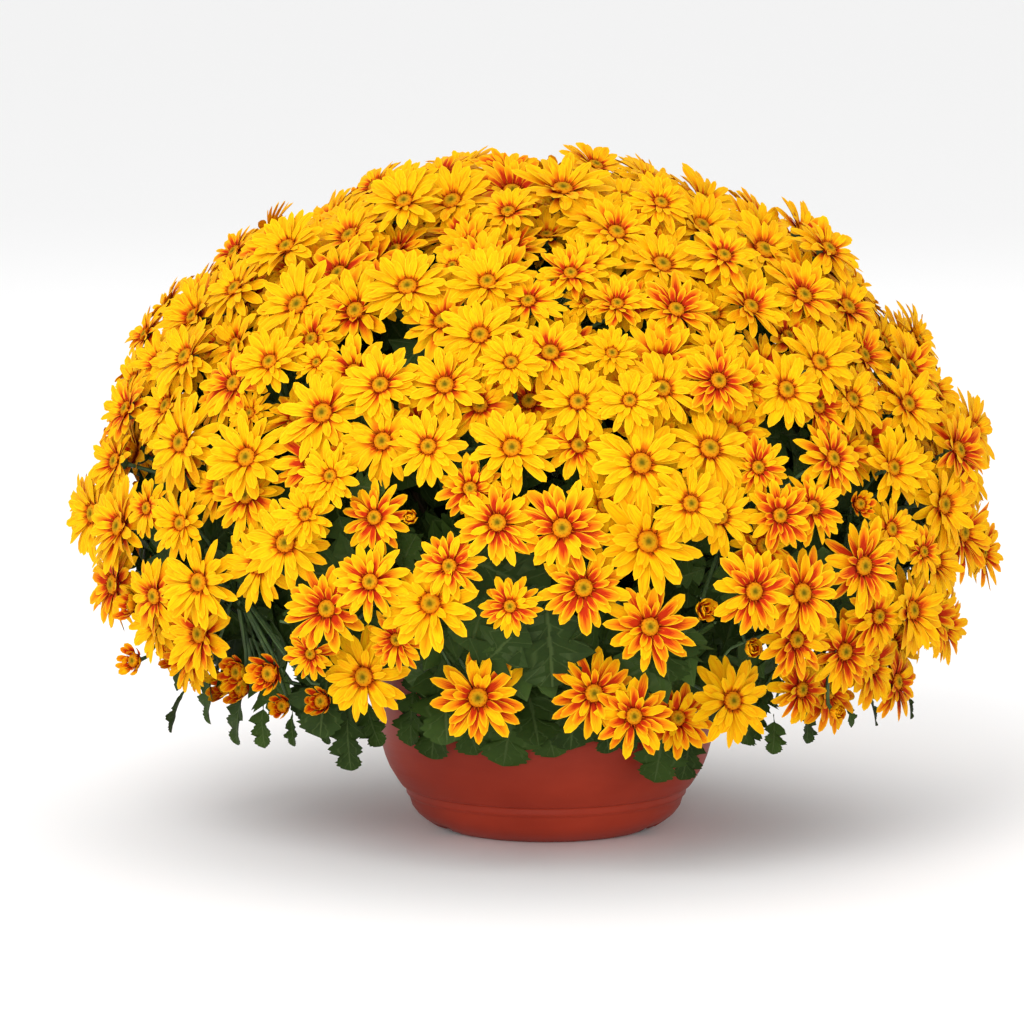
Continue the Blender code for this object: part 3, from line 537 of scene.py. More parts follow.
@dataclass
class Shapes:
    """Many closed shapes of one kind: rings of points from a first pole to a last pole.

    points has the size (shapes, rows * sides + 2, 3): the rings in order, then the two poles.
    """

    points: Array
    rows: int
    sides: int
    finish: int
    marks: dict[Mark, Array]

    @classmethod
    def lofted(cls, rings: Array, first: Array, last: Array, finish: int, **marks: Array | float) -> "Shapes":
        """Gathers rings and poles into shapes.

        Args:
            rings: points of the size (shapes, rows, sides, 3).
            first: the first poles, (shapes, 3).
            last: the last poles, (shapes, 3).
            finish: the index of the shapes' material.
            marks: values by the lower-case name of their mark, of a size that fits (shapes, rows, sides).

        Returns:
            The shapes.
        """
        count, rows, sides, _ = rings.shape
        body = rings.reshape(count, rows * sides, 3)
        points = np.concatenate([body, first[:, None], last[:, None]], axis=1)
        kept = {}
        for name, value in marks.items():
            full = np.broadcast_to(value, (count, rows, sides))
            ends = [full[:, 0].mean(axis=1)[:, None], full[:, -1].mean(axis=1)[:, None]]
            kept[Mark(name)] = np.concatenate([full.reshape(count, rows * sides), *ends], axis=1)
        return cls(points, rows, sides, finish, kept)

    def faces(self) -> tuple[Array, Array]:
        """Quads between the rings and triangles round the poles, all facing outwards.

        Returns:
            The quads and the triangles, as point numbers.
        """
        count, size, _ = self.points.shape
        here = np.arange(self.sides)
        beside = (here + 1) % self.sides
        row = np.arange(self.rows - 1)[:, None] * self.sides
        above = row + self.sides
        quads = np.stack([row + here, row + beside, above + beside, above + here], axis=-1).reshape(-1, 4)
        last_row = (self.rows - 1) * self.sides
        first_pole = np.full(self.sides, size - 2)
        last_pole = np.full(self.sides, size - 1)
        triangles = np.concatenate([
            np.stack([beside, here, first_pole], axis=-1),
            np.stack([last_row + here, last_row + beside, last_pole], axis=-1),
        ])
        halves = np.concatenate([quads[:, [0, 1, 2]], quads[:, [0, 2, 3]], triangles])
        corners = self.points[:, halves]
        volumes = np.einsum("kfi,kfi->k", corners[:, :, 0], np.cross(corners[:, :, 1], corners[:, :, 2]))
        inside_out = (volumes < 0)[:, None, None]
        offset = (np.arange(count) * size)[:, None, None]
        quads = np.where(inside_out, quads[None, :, ::-1], quads[None]) + offset
        triangles = np.where(inside_out, triangles[None, :, ::-1], triangles[None]) + offset
        return quads.reshape(-1, 4), triangles.reshape(-1, 3)


def make_piece(name: str, parts: list[Shapes], finishes: list[Material]) -> Object:
    """Joins shapes into one mesh object with its marks and materials.

    Args:
        name: the piece's name.
        parts: the shapes that it holds.
        finishes: its materials, in the order of the shapes' finish numbers.

    Returns:
        The object, at the origin.
    """
    quads, triangles, quad_finish, triangle_finish = [], [], [], []
    start = 0
    for part in parts:
        quad, triangle = part.faces()
        quads.append(quad + start)
        triangles.append(triangle + start)
        quad_finish.append(np.full(len(quad), part.finish))
        triangle_finish.append(np.full(len(triangle), part.finish))
        start += part.points.shape[0] * part.points.shape[1]
    points = np.concatenate([part.points.reshape(-1, 3) for part in parts])
    quads = np.concatenate(quads)
    triangles = np.concatenate(triangles)
    mesh = bpy.data.meshes.new(name)
    mesh.vertices.add(len(points))
    mesh.vertices.foreach_set("co", points.astype(np.float32).ravel())
    mesh.loops.add(quads.size + triangles.size)
    corners = np.concatenate([quads.ravel(), triangles.ravel()])
    mesh.loops.foreach_set("vertex_index", corners.astype(np.int32))
    mesh.polygons.add(len(quads) + len(triangles))
    starts = np.concatenate([np.arange(len(quads)) * 4, quads.size + np.arange(len(triangles)) * 3])
    mesh.polygons.foreach_set("loop_start", starts.astype(np.int32))
    mesh.polygons.foreach_set("use_smooth", np.ones(len(starts), bool))
    mesh.update(calc_edges=True)
    mesh.validate()
    for finish in finishes:
        mesh.materials.append(finish)
    numbers = np.concatenate(quad_finish + triangle_finish)
    mesh.polygons.foreach_set("material_index", numbers.astype(np.int32))
    values = {}
    for mark in Mark:
        own = [part.marks.get(mark, np.zeros(part.points.shape[:2])).ravel() for part in parts]
        values[mark] = np.concatenate(own).astype(np.float32)
        mesh.attributes.new(mark.value, "FLOAT", "POINT").data.foreach_set("value", values[mark])
    is_margin = np.abs(values[Mark.ACROSS]) > MARGIN_FROM
    sharpen_margins(mesh, is_margin, values[Mark.ALONG] > TIP_FROM)
    obj = bpy.data.objects.new(name, mesh)
    bpy.context.scene.collection.objects.link(obj)
    return obj


def sharpen_margins(mesh: bpy.types.Mesh, is_margin: Array, is_tip: Array) -> None:
    """Marks as sharp the edges that run along a petal's or a leaf's margin and on to its tip.

    Args:
        mesh: the mesh.
        is_margin: whether each point is on a margin.
        is_tip: whether each point is a tip.
    """
    ends = np.empty(len(mesh.edges) * 2, np.int32)
    mesh.edges.foreach_get("vertices", ends)
    ends = ends.reshape(-1, 2)
    sharp = is_margin[ends].any(axis=1) & (is_margin | is_tip)[ends].all(axis=1)
    mesh.attributes.new("sharp_edge", "BOOLEAN", "EDGE").data.foreach_set("value", sharp)


def settle(piece: Object, node: str) -> None:
    """Lets a piece ride on the plant's body in a node's place, and hides that node."""
    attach(piece, ROOT_BODY)
    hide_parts(node)


def of_all(items: list, name: str) -> Array:
    """One field of every flower or leaf, as one array."""
    return np.array([getattr(item, name) for item in items])


def unit(vectors: Array) -> Array:
    """Vectors made one long."""
    return vectors / np.maximum(np.linalg.norm(vectors, axis=-1, keepdims=True), LEAST_LENGTH)


def square_to(axes: Array) -> tuple[Array, Array]:
    """Two directions square to each axis and to each other."""
    pick = np.where(np.abs(axes[..., 2:]) < STEEP, UP, np.array((1.0, 0.0, 0.0)))
    side = unit(np.cross(axes, pick))
    return side, np.cross(axes, side)


def circle(side: Array, across: Array, sides: int) -> Array:
    """Points round each circle of radius one, cosines along side, sines along across: (shapes, sides, 3)."""
    angles = 2 * np.pi * np.arange(sides) / sides
    return side[:, None] * np.cos(angles)[:, None] + across[:, None] * np.sin(angles)[:, None]


def revolved(
    centre: Array,
    facing: Array,
    radius: Array,
    spans: Sequence[float],
    heights: Sequence[float],
    sides: int,
) -> Array:
    """Rings round the flowers' facings: a profile of spans and heights, times each flower's radius.

    Args:
        centre: the flowers' middles.
        facing: the way they look.
        radius: their radii.
        spans: the profile's distances from the axis.
        heights: its heights along the facing.
        sides: how many points a ring has.

    Returns:
        The rings, (flowers, rows, sides, 3).
    """
    ring = circle(*square_to(facing), sides)
    rings = centre[:, None, None] + ring[:, None] * (radius[:, None] * spans)[:, :, None, None]
    return rings + (radius[:, None] * heights)[:, :, None, None] * facing[:, None, None]


def bezier(corners: Array, ways: Array) -> Array:
    """Points on cubic curves.

    Args:
        corners: the curves' four control points, (curves, 4, 3).
        ways: how far along, from 0 to 1, (steps,) or (curves, steps).

    Returns:
        The points, (curves, steps, 3).
    """
    t = np.broadcast_to(ways, (len(corners), np.shape(ways)[-1]))[..., None]
    p0, p1, p2, p3 = (corners[:, None, i] for i in range(4))
    return p0 * (1 - t) ** 3 + 3 * p1 * t * (1 - t) ** 2 + 3 * p2 * t**2 * (1 - t) + p3 * t**3


def tubes(paths: Array, radii: Array, sides: int, finish: int, **marks: Array | float) -> Shapes:
    """Round tubes along paths: each ring is a circle square to the path's direction there.

    Args:
        paths: centre lines, (tubes, steps, 3).
        radii: a radius for each step, of a size that fits (tubes, steps).
        sides: how many points a ring has.
        finish: the material's number.
        marks: the marks' values.

    Returns:
        The tubes.
    """
    tangents = unit(np.gradient(paths, axis=1))
    overall = unit(paths[:, -1] - paths[:, 0])
    reference, _ = square_to(overall)
    lean = np.sum(reference[:, None] * tangents, axis=-1, keepdims=True)
    side = unit(reference[:, None] - lean * tangents)
    across = np.cross(tangents, side)
    angles = 2 * np.pi * np.arange(sides) / sides
    turn = side[:, :, None] * np.cos(angles)[:, None] + across[:, :, None] * np.sin(angles)[:, None]
    radii = np.broadcast_to(radii, paths.shape[:2])
    rings = paths[:, :, None] + turn * radii[:, :, None, None]
    first = paths[:, 0] - tangents[:, 0] * radii[:, :1] * 0.5
    last = paths[:, -1] + tangents[:, -1] * radii[:, -1:] * 0.5
    return Shapes.lofted(rings, first, last, finish, **marks)


@dataclass
class Flower:
    """A flower as its solid gives it: the star's middle, its facing, its radius and its stalk's foot."""

    centre: Array
    facing: Array
    radius: float
    hub: Array
    habit: "Habit"
    blush: float = 0.0


@dataclass
class Leaf:
    """A leaf: its root, the way it points, the way its upper side looks, and its length."""

    root: Array
    along: Array
    up: Array
    length: float


class SolidReader:
    """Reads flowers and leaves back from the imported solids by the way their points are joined."""

    petal_waist = 0.60
    crown_rise = 0.14
    bud_crown = 0.80
    star_points = 12
    bud_points = 6
    stalk_start = 0.0078
    leaf_middle = 0.52
    leaf_droop = 0.20
    leaf_thickness = 0.0018
    leaf_least_joints = 9
    leaf_least_shared = 6
    leaf_edge_joints = 4
    merge = 1e-5
    tolerance = 0.012

    def joined(self, node: Object) -> tuple[Array, Array, list[Array]]:
        """A node's points without doubles, its triangles, and each point's neighbours.

        Args:
            node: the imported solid's object.

        Returns:
            Points, triangles, and a list of neighbour numbers.
        """
        mesh = node.data
        points = np.empty(len(mesh.vertices) * 3, np.float32)
        mesh.vertices.foreach_get("co", points)
        corners = np.empty(len(mesh.polygons) * 3, np.int32)
        mesh.polygons.foreach_get("vertices", corners)
        keys = np.round(points.reshape(-1, 3).astype(float) / self.merge).astype(np.int64)
        unique, first, back = np.unique(keys, axis=0, return_index=True, return_inverse=True)
        triangles = back.reshape(-1)[corners].reshape(-1, 3)
        edges = np.concatenate([triangles[:, [0, 1]], triangles[:, [1, 2]], triangles[:, [2, 0]]])
        edges = np.unique(np.concatenate([edges, edges[:, ::-1]]), axis=0)
        neighbours = np.split(edges[:, 1], np.searchsorted(edges[:, 0], np.arange(1, len(unique))))
        return points.reshape(-1, 3)[first].astype(float), triangles, neighbours

    def star_at(self, points: Array, ring: Array, crown: Array) -> tuple[Array, float] | None:
        """Looks whether a crown's neighbours make a star or a bud.

        Args:
            points: the solid's points.
            ring: the numbers of the crown's neighbours.
            crown: the crown's place.

        Returns:
            The facing and the radius, or None where the points make neither.
        """
        spans = np.sort(np.linalg.norm(points[ring] - crown, axis=1))
        middle = points[ring].mean(axis=0)
        rise = crown - middle
        if len(ring) == self.star_points:
            half = self.star_points // 2
            inner, outer = spans[:half], spans[half:]
            ratio = inner.mean() / outer.mean()
            expected = math.hypot(self.petal_waist, self.crown_rise) / math.hypot(1.0, self.crown_rise / 2)
            even = max(np.ptp(inner), np.ptp(outer)) < self.tolerance * spans[-1]
            if even and abs(ratio - expected) < self.tolerance:
                return unit(rise), float(np.linalg.norm(points[ring] - middle, axis=1).max())
        if len(ring) == self.bud_points and np.ptp(spans) < self.tolerance * spans[-1]:
            radius = float(np.linalg.norm(points[ring] - middle, axis=1).mean())
            height = float(np.linalg.norm(rise))
            if abs(height / radius - self.bud_crown) < self.tolerance:
                return unit(rise), radius
        return None

    def flowers(self, node: Object) -> list[Flower]:
        """The flowers of a spray.

        Each crown is joined to its ring, the ring to the neck's three points, and those to the stalk's foot.

        Args:
            node: the spray's solid.

        Returns:
            Its flowers.
        """
        points, _, neighbours = self.joined(node)
        found = []
        for crown, ring in enumerate(neighbours):
            if len(ring) not in (self.star_points, self.bud_points):
                continue
            star = self.star_at(points, ring, points[crown])
            if star is None:
                continue
            facing, radius = star
            is_bud = len(ring) == self.bud_points
            rise = self.bud_crown if is_bud else self.crown_rise
            known = set(ring.tolist()) | {crown}
            neck = {int(n) for point in ring for n in neighbours[point]} - known
            foot = {int(n) for point in neck for n in neighbours[point]} - known - neck
            neck_middle = points[sorted(neck)].mean(axis=0)
            foot = sorted(foot, key=lambda n: np.linalg.norm(points[n] - neck_middle))[:3]
            corners = points[foot]
            start = unit(np.cross(corners[1] - corners[0], corners[2] - corners[0]))
            middle = corners.mean(axis=0)
            if start @ (points[crown] - middle) < 0:
                start = -start
            centre = points[crown] - facing * rise * radius
            habit = Habit.BUD if is_bud else Habit.FULL
            found.append(Flower(centre, facing, radius, middle - start * self.stalk_start, habit))
        return found

    def leaves(self, node: Object) -> list[Leaf]:
        """The leaves of a leafy stem.

        A leaf's two middle points lie one thickness apart and share most of its outline. The tip is the
        farthest outline point that touches nothing else.

        Args:
            node: the leafy stem's solid.

        Returns:
            Its leaves.
        """
        points, _, neighbours = self.joined(node)
        found = []
        for top, around in enumerate(neighbours):
            if len(around) < self.leaf_least_joints:
                continue
            for low in range(top + 1, len(points)):
                if abs(np.linalg.norm(points[low] - points[top]) - self.leaf_thickness) > 4 * self.merge:
                    continue
                shared = np.intersect1d(around, neighbours[low])
                shared = np.array([n for n in shared if len(neighbours[n]) == self.leaf_edge_joints])
                if len(shared) < self.leaf_least_shared:
                    continue
                middle = (points[top] + points[low]) / 2
                spans = np.linalg.norm(points[shared] - middle, axis=1)
                reach = points[shared[int(spans.argmax())]] - middle
                up = unit(points[top] - points[low])
                if reach @ up > 0:
                    up = -up
                fall = self.leaf_droop * (1 - self.leaf_middle**2)
                length = float(spans.max()) / math.hypot(1 - self.leaf_middle, fall)
                along = unit(reach + fall * length * up)
                sag = up * self.leaf_droop * self.leaf_middle**2 * length
                root = middle - along * self.leaf_middle * length + sag
                found.append(Leaf(root, along, up, length))
        return found


@dataclass(frozen=True)
class Whorl:
    """One ring of petals. Sizes are shares of the flower's radius, pitches degrees above the star's plane."""

    count: int
    rows: int
    root: float
    reach: float
    half_width: float
    pitch: Pair
    blush: float
    rise: float = 0.0


class Habit(Enum):
    """The rings of petals of a full flower, a smaller one that fills a gap, a half-open one and a bud."""

    FULL = (
        Whorl(13, 5, 0.15, 0.97, 0.140, (9.0, -14.0), 1.05),
        Whorl(12, 4, 0.15, 0.80, 0.124, (25.0, -4.0), 1.05, 0.015),
        Whorl(9, 4, 0.16, 0.53, 0.088, (42.0, 8.0), 1.10, 0.025),
    )
    FILL = (
        Whorl(13, 4, 0.15, 0.98, 0.148, (15.0, -8.0), 0.95),
        Whorl(10, 3, 0.15, 0.76, 0.130, (34.0, 4.0), 1.10, 0.020),
        Whorl(7, 3, 0.16, 0.48, 0.095, (52.0, 18.0), 1.25, 0.030),
    )
    CUP = (
        Whorl(9, 4, 0.42, 0.98, 0.25, (52.0, 78.0), 1.25, -0.05),
        Whorl(8, 3, 0.36, 0.60, 0.20, (64.0, 86.0), 1.35, 0.00),
    )
    BUD = (
        Whorl(9, 6, 0.30, 1.35, 0.42, (38.0, 112.0), 1.15, -0.35),
        Whorl(7, 5, 0.20, 1.10, 0.36, (60.0, 118.0), 1.30, -0.20),
        Whorl(4, 4, 0.08, 0.90, 0.26, (74.0, 112.0), 1.30, -0.10),
    )


class Petals:
    """A flower's petals in rings, the outer long and flat and the inner short and upright.

    A petal's middle line runs out from its root while its pitch turns from the first value to the second.
    Its half width grows as a sine up to its widest place and falls as a power of a cosine to the tip.
    """

    widest = 0.62
    root_width = 0.32
    tip_power = 0.46
    crowd = 1.5
    thickness = 0.00035
    keel = 0.06
    bend_power = 1.2
    droop_spread = 6.0
    place_spread = 0.30
    lengths = (0.86, 1.06)
    widths = (0.84, 1.14)
    pitch_spread = 7.0
    sway_spread = 0.06
    roll_spread = 0.26
    cup = (0.06, 0.12)
    tip_powers = (0.75, 1.35)
    blushes = (0.15, 1.75)
    margins = (1.0, 0.0, -1.0, 0.0)
    unders = (0.0, 0.0, 0.0, 1.0)

    def shapes(self, flowers: list[Flower], rng: Random) -> list[Shapes]:
        """Every petal of the flowers, one set of shapes for each ring of petals.

        Args:
            flowers: the flowers of a spray.
            rng: the spray's random draws.

        Returns:
            The petals' shapes.
        """
        made = []
        for habit in Habit:
            chosen = [flower for flower in flowers if flower.habit is habit]
            if chosen:
                droops = rng.normal(0.0, self.droop_spread, len(chosen))
                made += [self.ring_of(whorl, chosen, droops, rng) for whorl in habit.value]
        return made

    def ring_of(self, whorl: Whorl, flowers: list[Flower], droops: Array, rng: Random) -> Shapes:
        """One ring of petals on each of the flowers.

        Args:
            whorl: the ring's sizes.
            flowers: the flowers that carry it.
            droops: how far each flower's petals are bent up, in degrees.
            rng: the random draws.

        Returns:
            The petals.
        """
        size = (len(flowers), whorl.count)
        radius = of_all(flowers, "radius")[:, None]
        place = rng.uniform(-self.place_spread, self.place_spread, size)
        azimuth = 2 * np.pi * (np.arange(whorl.count) + place) / whorl.count
        azimuth = azimuth + rng.uniform(0, 2 * np.pi, (len(flowers), 1))
        length = whorl.reach * radius * rng.uniform(*self.lengths, size)
        half_width = whorl.half_width * radius * rng.uniform(*self.widths, size)
        first, last = (
            np.radians(angle + rng.normal(0.0, self.pitch_spread, size) + droops[:, None])
            for angle in whorl.pitch
        )
        sway = rng.normal(0.0, self.sway_spread, size)
        roll = rng.normal(0.0, self.roll_spread, size)
        cup = rng.normal(*self.cup, size)
        power = self.tip_power * rng.uniform(*self.tip_powers, size)
        blush = of_all(flowers, "blush")[:, None] * whorl.blush * rng.uniform(*self.blushes, size)
        tint = rng.uniform(0.0, 1.0, size)

        ways = 1 - (1 - np.linspace(0.0, 1.0, whorl.rows + 1)) ** self.crowd
        pitch = first[..., None] + (last - first)[..., None] * ways**self.bend_power
        steps = np.diff(ways) * length[..., None]
        middle = (pitch[..., 1:] + pitch[..., :-1]) / 2
        start = np.zeros((*size, 1))
        out = np.concatenate([start, np.cumsum(np.cos(middle) * steps, axis=-1)], axis=-1)
        height = np.concatenate([start, np.cumsum(np.sin(middle) * steps, axis=-1)], axis=-1)
        out = out + (whorl.root * radius)[..., None]
        height = height + (whorl.rise * radius)[..., None]
        aside = sway[..., None] * length[..., None] * ways**2
        line = np.stack([out, aside, height], axis=-1)

        early = np.sin(np.pi / 2 * np.minimum(ways / self.widest, 1.0))
        grow = self.root_width + (1 - self.root_width) * early
        late = np.clip((ways - self.widest) / (1 - self.widest), 0.0, 1.0)
        width = half_width[..., None] * grow * np.cos(np.pi / 2 * late) ** power[..., None]
        normal = np.stack([-np.sin(pitch), np.zeros_like(pitch), np.cos(pitch)], axis=-1)
        lateral = np.broadcast_to(np.array((0.0, 1.0, 0.0)), normal.shape)
        turn = (roll[..., None] * ways)[..., None]
        tilted = lateral * np.cos(turn) + normal * np.sin(turn)
        lateral, normal = tilted, normal * np.cos(turn) - lateral * np.sin(turn)
        edge = lateral * width[..., None]
        lift = normal * (cup[..., None] * width)[..., None]
        under = normal * (self.thickness + self.keel * width)[..., None]
        section = np.stack([line + edge + lift, line, line - edge + lift, line - under], axis=-2)

        cosine, sine = np.cos(azimuth), np.sin(azimuth)
        tip = line[:, :, -1]
        root = line[:, :, 0] - under[:, :, 0] / 2
        rings = self.turned(section[:, :, :-1], cosine[..., None, None], sine[..., None, None], flowers)
        poles = [self.turned(pole, cosine, sine, flowers).reshape(-1, 3) for pole in (root, tip)]
        petals = Shapes.lofted(
            rings.reshape(-1, whorl.rows, len(self.margins), 3),
            *poles,
            0,
            along=ways[None, :-1, None],
            across=np.array(self.margins),
            under=np.array(self.unders),
            blush=np.clip(blush, 0.0, 1.0).reshape(-1, 1, 1),
            tint=tint.reshape(-1, 1, 1),
        )
        petals.marks[Mark.ALONG][:, -1] = 1.0
        return petals

    @staticmethod
    def turned(local: Array, cosine: Array, sine: Array, flowers: list[Flower]) -> Array:
        """Turns points from a petal's own frame to its place round the flower, and to the flower's place.

        Args:
            local: points of the size (flowers, petals, ..., 3).
            cosine: the cosine of each petal's place round the flower.
            sine: its sine.
            flowers: the flowers.

        Returns:
            The points in place.
        """
        x = local[..., 0] * cosine - local[..., 1] * sine
        y = local[..., 0] * sine + local[..., 1] * cosine
        facing = of_all(flowers, "facing")
        side, across = square_to(facing)
        centre = of_all(flowers, "centre")
        fit = (len(flowers),) + (1,) * (local.ndim - 2) + (3,)
        placed = x[..., None] * side.reshape(fit) + y[..., None] * across.reshape(fit)
        return centre.reshape(fit) + placed + local[..., 2][..., None] * facing.reshape(fit)


class Disc:
    """The flower's middle: a low dome with a dimple, florets in a spiral, and short rays at its rim.

    Sizes are shares of the flower's radius. The profile's spans and the rays' stations are shares of the
    disc's radius, and a floret's radius and height are metres.
    """

    radius = 0.240
    sides = 10
    profile = ((0.98, -0.08), (1.00, 0.03), (0.84, 0.085), (0.50, 0.125))
    dimple = 0.100
    foot = 0.12
    florets = 14
    floret_spread = 0.80
    floret_radius = 0.00055
    floret_height = 0.00085
    floret_foot = 0.4
    floret_tops = (0.6, 0.5)
    rays = 11
    ray_place_spread = 0.3
    ray_half_width = 0.026
    ray_stations = (0.70, 0.93, 1.22)
    ray_lengths = (0.9, 1.15)
    ray_start_rise = 0.060
    ray_rise = 0.125
    ray_tip_lift = 1.05
    ray_keel = 0.035
    ray_marks = (0.94, 0.3)
    half_open_scale = 1.9

    def shapes(self, flowers: list[Flower], rng: Random) -> list[Shapes]:
        """The domes, florets and rays of the open flowers.

        Args:
            flowers: the flowers of a spray.
            rng: the random draws.

        Returns:
            The shapes, or none where every flower is a bud.
        """
        chosen = [flower for flower in flowers if flower.habit is not Habit.BUD]
        if not chosen:
            return []
        scales = [self.half_open_scale if flower.habit is Habit.CUP else 1.0 for flower in chosen]
        seats = of_all(chosen, "centre"), of_all(chosen, "facing"), of_all(chosen, "radius") * scales
        return [self.domes(*seats), self.dots(*seats), self.short_rays(*seats, rng)]

    def domes(self, centre: Array, facing: Array, radius: Array) -> Shapes:
        """The domes: the profile turned round each flower's facing.

        Args:
            centre: the flowers' middles.
            facing: the way they look.
            radius: their radii.

        Returns:
            The domes.
        """
        spans = np.array([span for span, _ in self.profile]) * self.radius
        rings = revolved(centre, facing, radius, spans, [height for _, height in self.profile], self.sides)
        bottom = centre - facing * (radius * self.foot)[:, None]
        top = centre + facing * (radius * self.dimple)[:, None]
        domes = Shapes.lofted(rings, bottom, top, 1, along=(spans / self.radius)[None, :, None])
        domes.marks[Mark.ALONG][:, -1] = 0.0
        return domes

    def dots(self, centre: Array, facing: Array, radius: Array) -> Shapes:
        """The florets: small three-sided spindles, each one spiral turn on and farther out by a square root.

        Args:
            centre: the flowers' middles.
            facing: the way they look.
            radius: their radii.

        Returns:
            The florets.
        """
        side, across = square_to(facing)
        number = np.arange(1, self.florets + 1)
        share = np.sqrt(number / self.florets) * self.floret_spread
        turn = number * math.pi * SPIRAL_TURN
        out, aside = ((wave(turn) * share * self.radius)[:, None] for wave in (np.cos, np.sin))
        spans, heights = zip((0.0, self.dimple), *self.profile[:1:-1])
        spot = side[:, None] * out + across[:, None] * aside
        spot = spot + np.interp(share, spans, heights)[:, None] * facing[:, None]
        spot = centre[:, None] + spot * radius[:, None, None]
        rings = spot[:, :, None] + circle(side, across, 3)[:, None] * self.floret_radius
        inner, growth = self.floret_tops
        tall = self.floret_height * (inner + growth * share)[:, None]
        return Shapes.lofted(
            rings.reshape(-1, 1, 3, 3),
            (spot - facing[:, None] * self.floret_height * self.floret_foot).reshape(-1, 3),
            (spot + facing[:, None] * tall).reshape(-1, 3),
            1,
            along=np.tile(share, len(centre)).reshape(-1, 1, 1),
        )

    def short_rays(self, centre: Array, facing: Array, radius: Array, rng: Random) -> Shapes:
        """Short pointed rays that lean over the disc's rim: a root, a keeled middle and a tip each.

        Args:
            centre: the flowers' middles.
            facing: the way they look.
            radius: their radii.
            rng: the random draws.

        Returns:
            The rays.
        """
        size = (len(centre), self.rays)
        side, across = square_to(facing)
        place = rng.uniform(-self.ray_place_spread, self.ray_place_spread, size)
        turn = 2 * np.pi * (np.arange(self.rays) + place) / self.rays
        out = side[:, None] * np.cos(turn)[..., None] + across[:, None] * np.sin(turn)[..., None]
        up = facing[:, None]
        unit_size = radius[:, None, None]
        near, middle_at, far = self.ray_stations
        start = centre[:, None] + (out * near * self.radius + up * self.ray_start_rise) * unit_size
        reach = far * rng.uniform(*self.ray_lengths, (*size, 1))
        top = up * self.ray_rise * self.ray_tip_lift
        end = centre[:, None] + (out * reach * self.radius + top) * unit_size
        middle = centre[:, None] + (out * middle_at * self.radius + up * self.ray_rise) * unit_size
        low = middle - up * self.ray_keel * unit_size
        wide = np.cross(up, out) * self.ray_half_width * unit_size
        rings = np.stack([low + wide, middle, low - wide], axis=2).reshape(-1, 1, 3, 3)
        along, tint = self.ray_marks
        return Shapes.lofted(rings, start.reshape(-1, 3), end.reshape(-1, 3), 1, along=along, tint=tint)


class Greens:
    """What carries a flower: its cup of bracts, in shares of the flower's radius, and its curved stalk."""

    cup_profile = (
        (0.080, -0.325), (0.190, -0.240), (0.262, -0.110), (0.245, 0.010),
    )
    cup_ends = (0.36, 0.05)
    cup_sides = 8
    bud_scale = 1.5
    bud_sink = 0.25
    stalk_radius = (0.00135, 0.00105)
    stalk_flare = 1.5
    flare_from = 0.85
    stalk_steps = 6
    stalk_sides = 4
    neck = 0.33
    hub_reach = 0.8
    neck_reach = 0.24

    def cups(self, flowers: list[Flower]) -> Shapes:
        """The green cups under the flowers: the profile turned round each flower's facing.

        Args:
            flowers: the flowers.

        Returns:
            The cups.
        """
        is_bud = of_all(flowers, "habit") == Habit.BUD
        radius, facing = of_all(flowers, "radius"), of_all(flowers, "facing")
        centre = of_all(flowers, "centre") - facing * (radius * np.where(is_bud, self.bud_sink, 0.0))[:, None]
        radius = radius * np.where(is_bud, self.bud_scale, 1.0)
        rings = revolved(centre, facing, radius, *zip(*self.cup_profile), self.cup_sides)
        first, last = (centre - facing * (radius * share)[:, None] for share in self.cup_ends)
        return Shapes.lofted(rings, first, last, 0, along=1.0)

    def curves(self, flowers: list[Flower]) -> Array:
        """The control points of the stalks, from the hub to the neck of each flower.

        Args:
            flowers: the flowers.

        Returns:
            The points, (flowers, 4, 3).
        """
        hub, facing = of_all(flowers, "hub"), of_all(flowers, "facing")
        neck = of_all(flowers, "centre") - facing * of_all(flowers, "radius")[:, None] * self.neck
        span = np.linalg.norm(neck - hub, axis=1, keepdims=True)
        middle = (hub + neck) / 2
        start = hub + (middle - hub) * self.hub_reach
        return np.stack([hub, start, neck - facing * span * self.neck_reach, neck], axis=1)

    def stalks(self, curves: Array) -> Shapes:
        """The stalks along their curves, a little thicker where they meet the cups.

        Args:
            curves: the stalks' control points.

        Returns:
            The stalks.
        """
        ways = np.linspace(0, 1, self.stalk_steps)
        foot, top = self.stalk_radius
        radii = np.interp(ways, [0.0, self.flare_from, 1.0], [foot, top, top * self.stalk_flare])
        return tubes(bezier(curves, ways), radii[None], self.stalk_sides, 0, along=1.0)


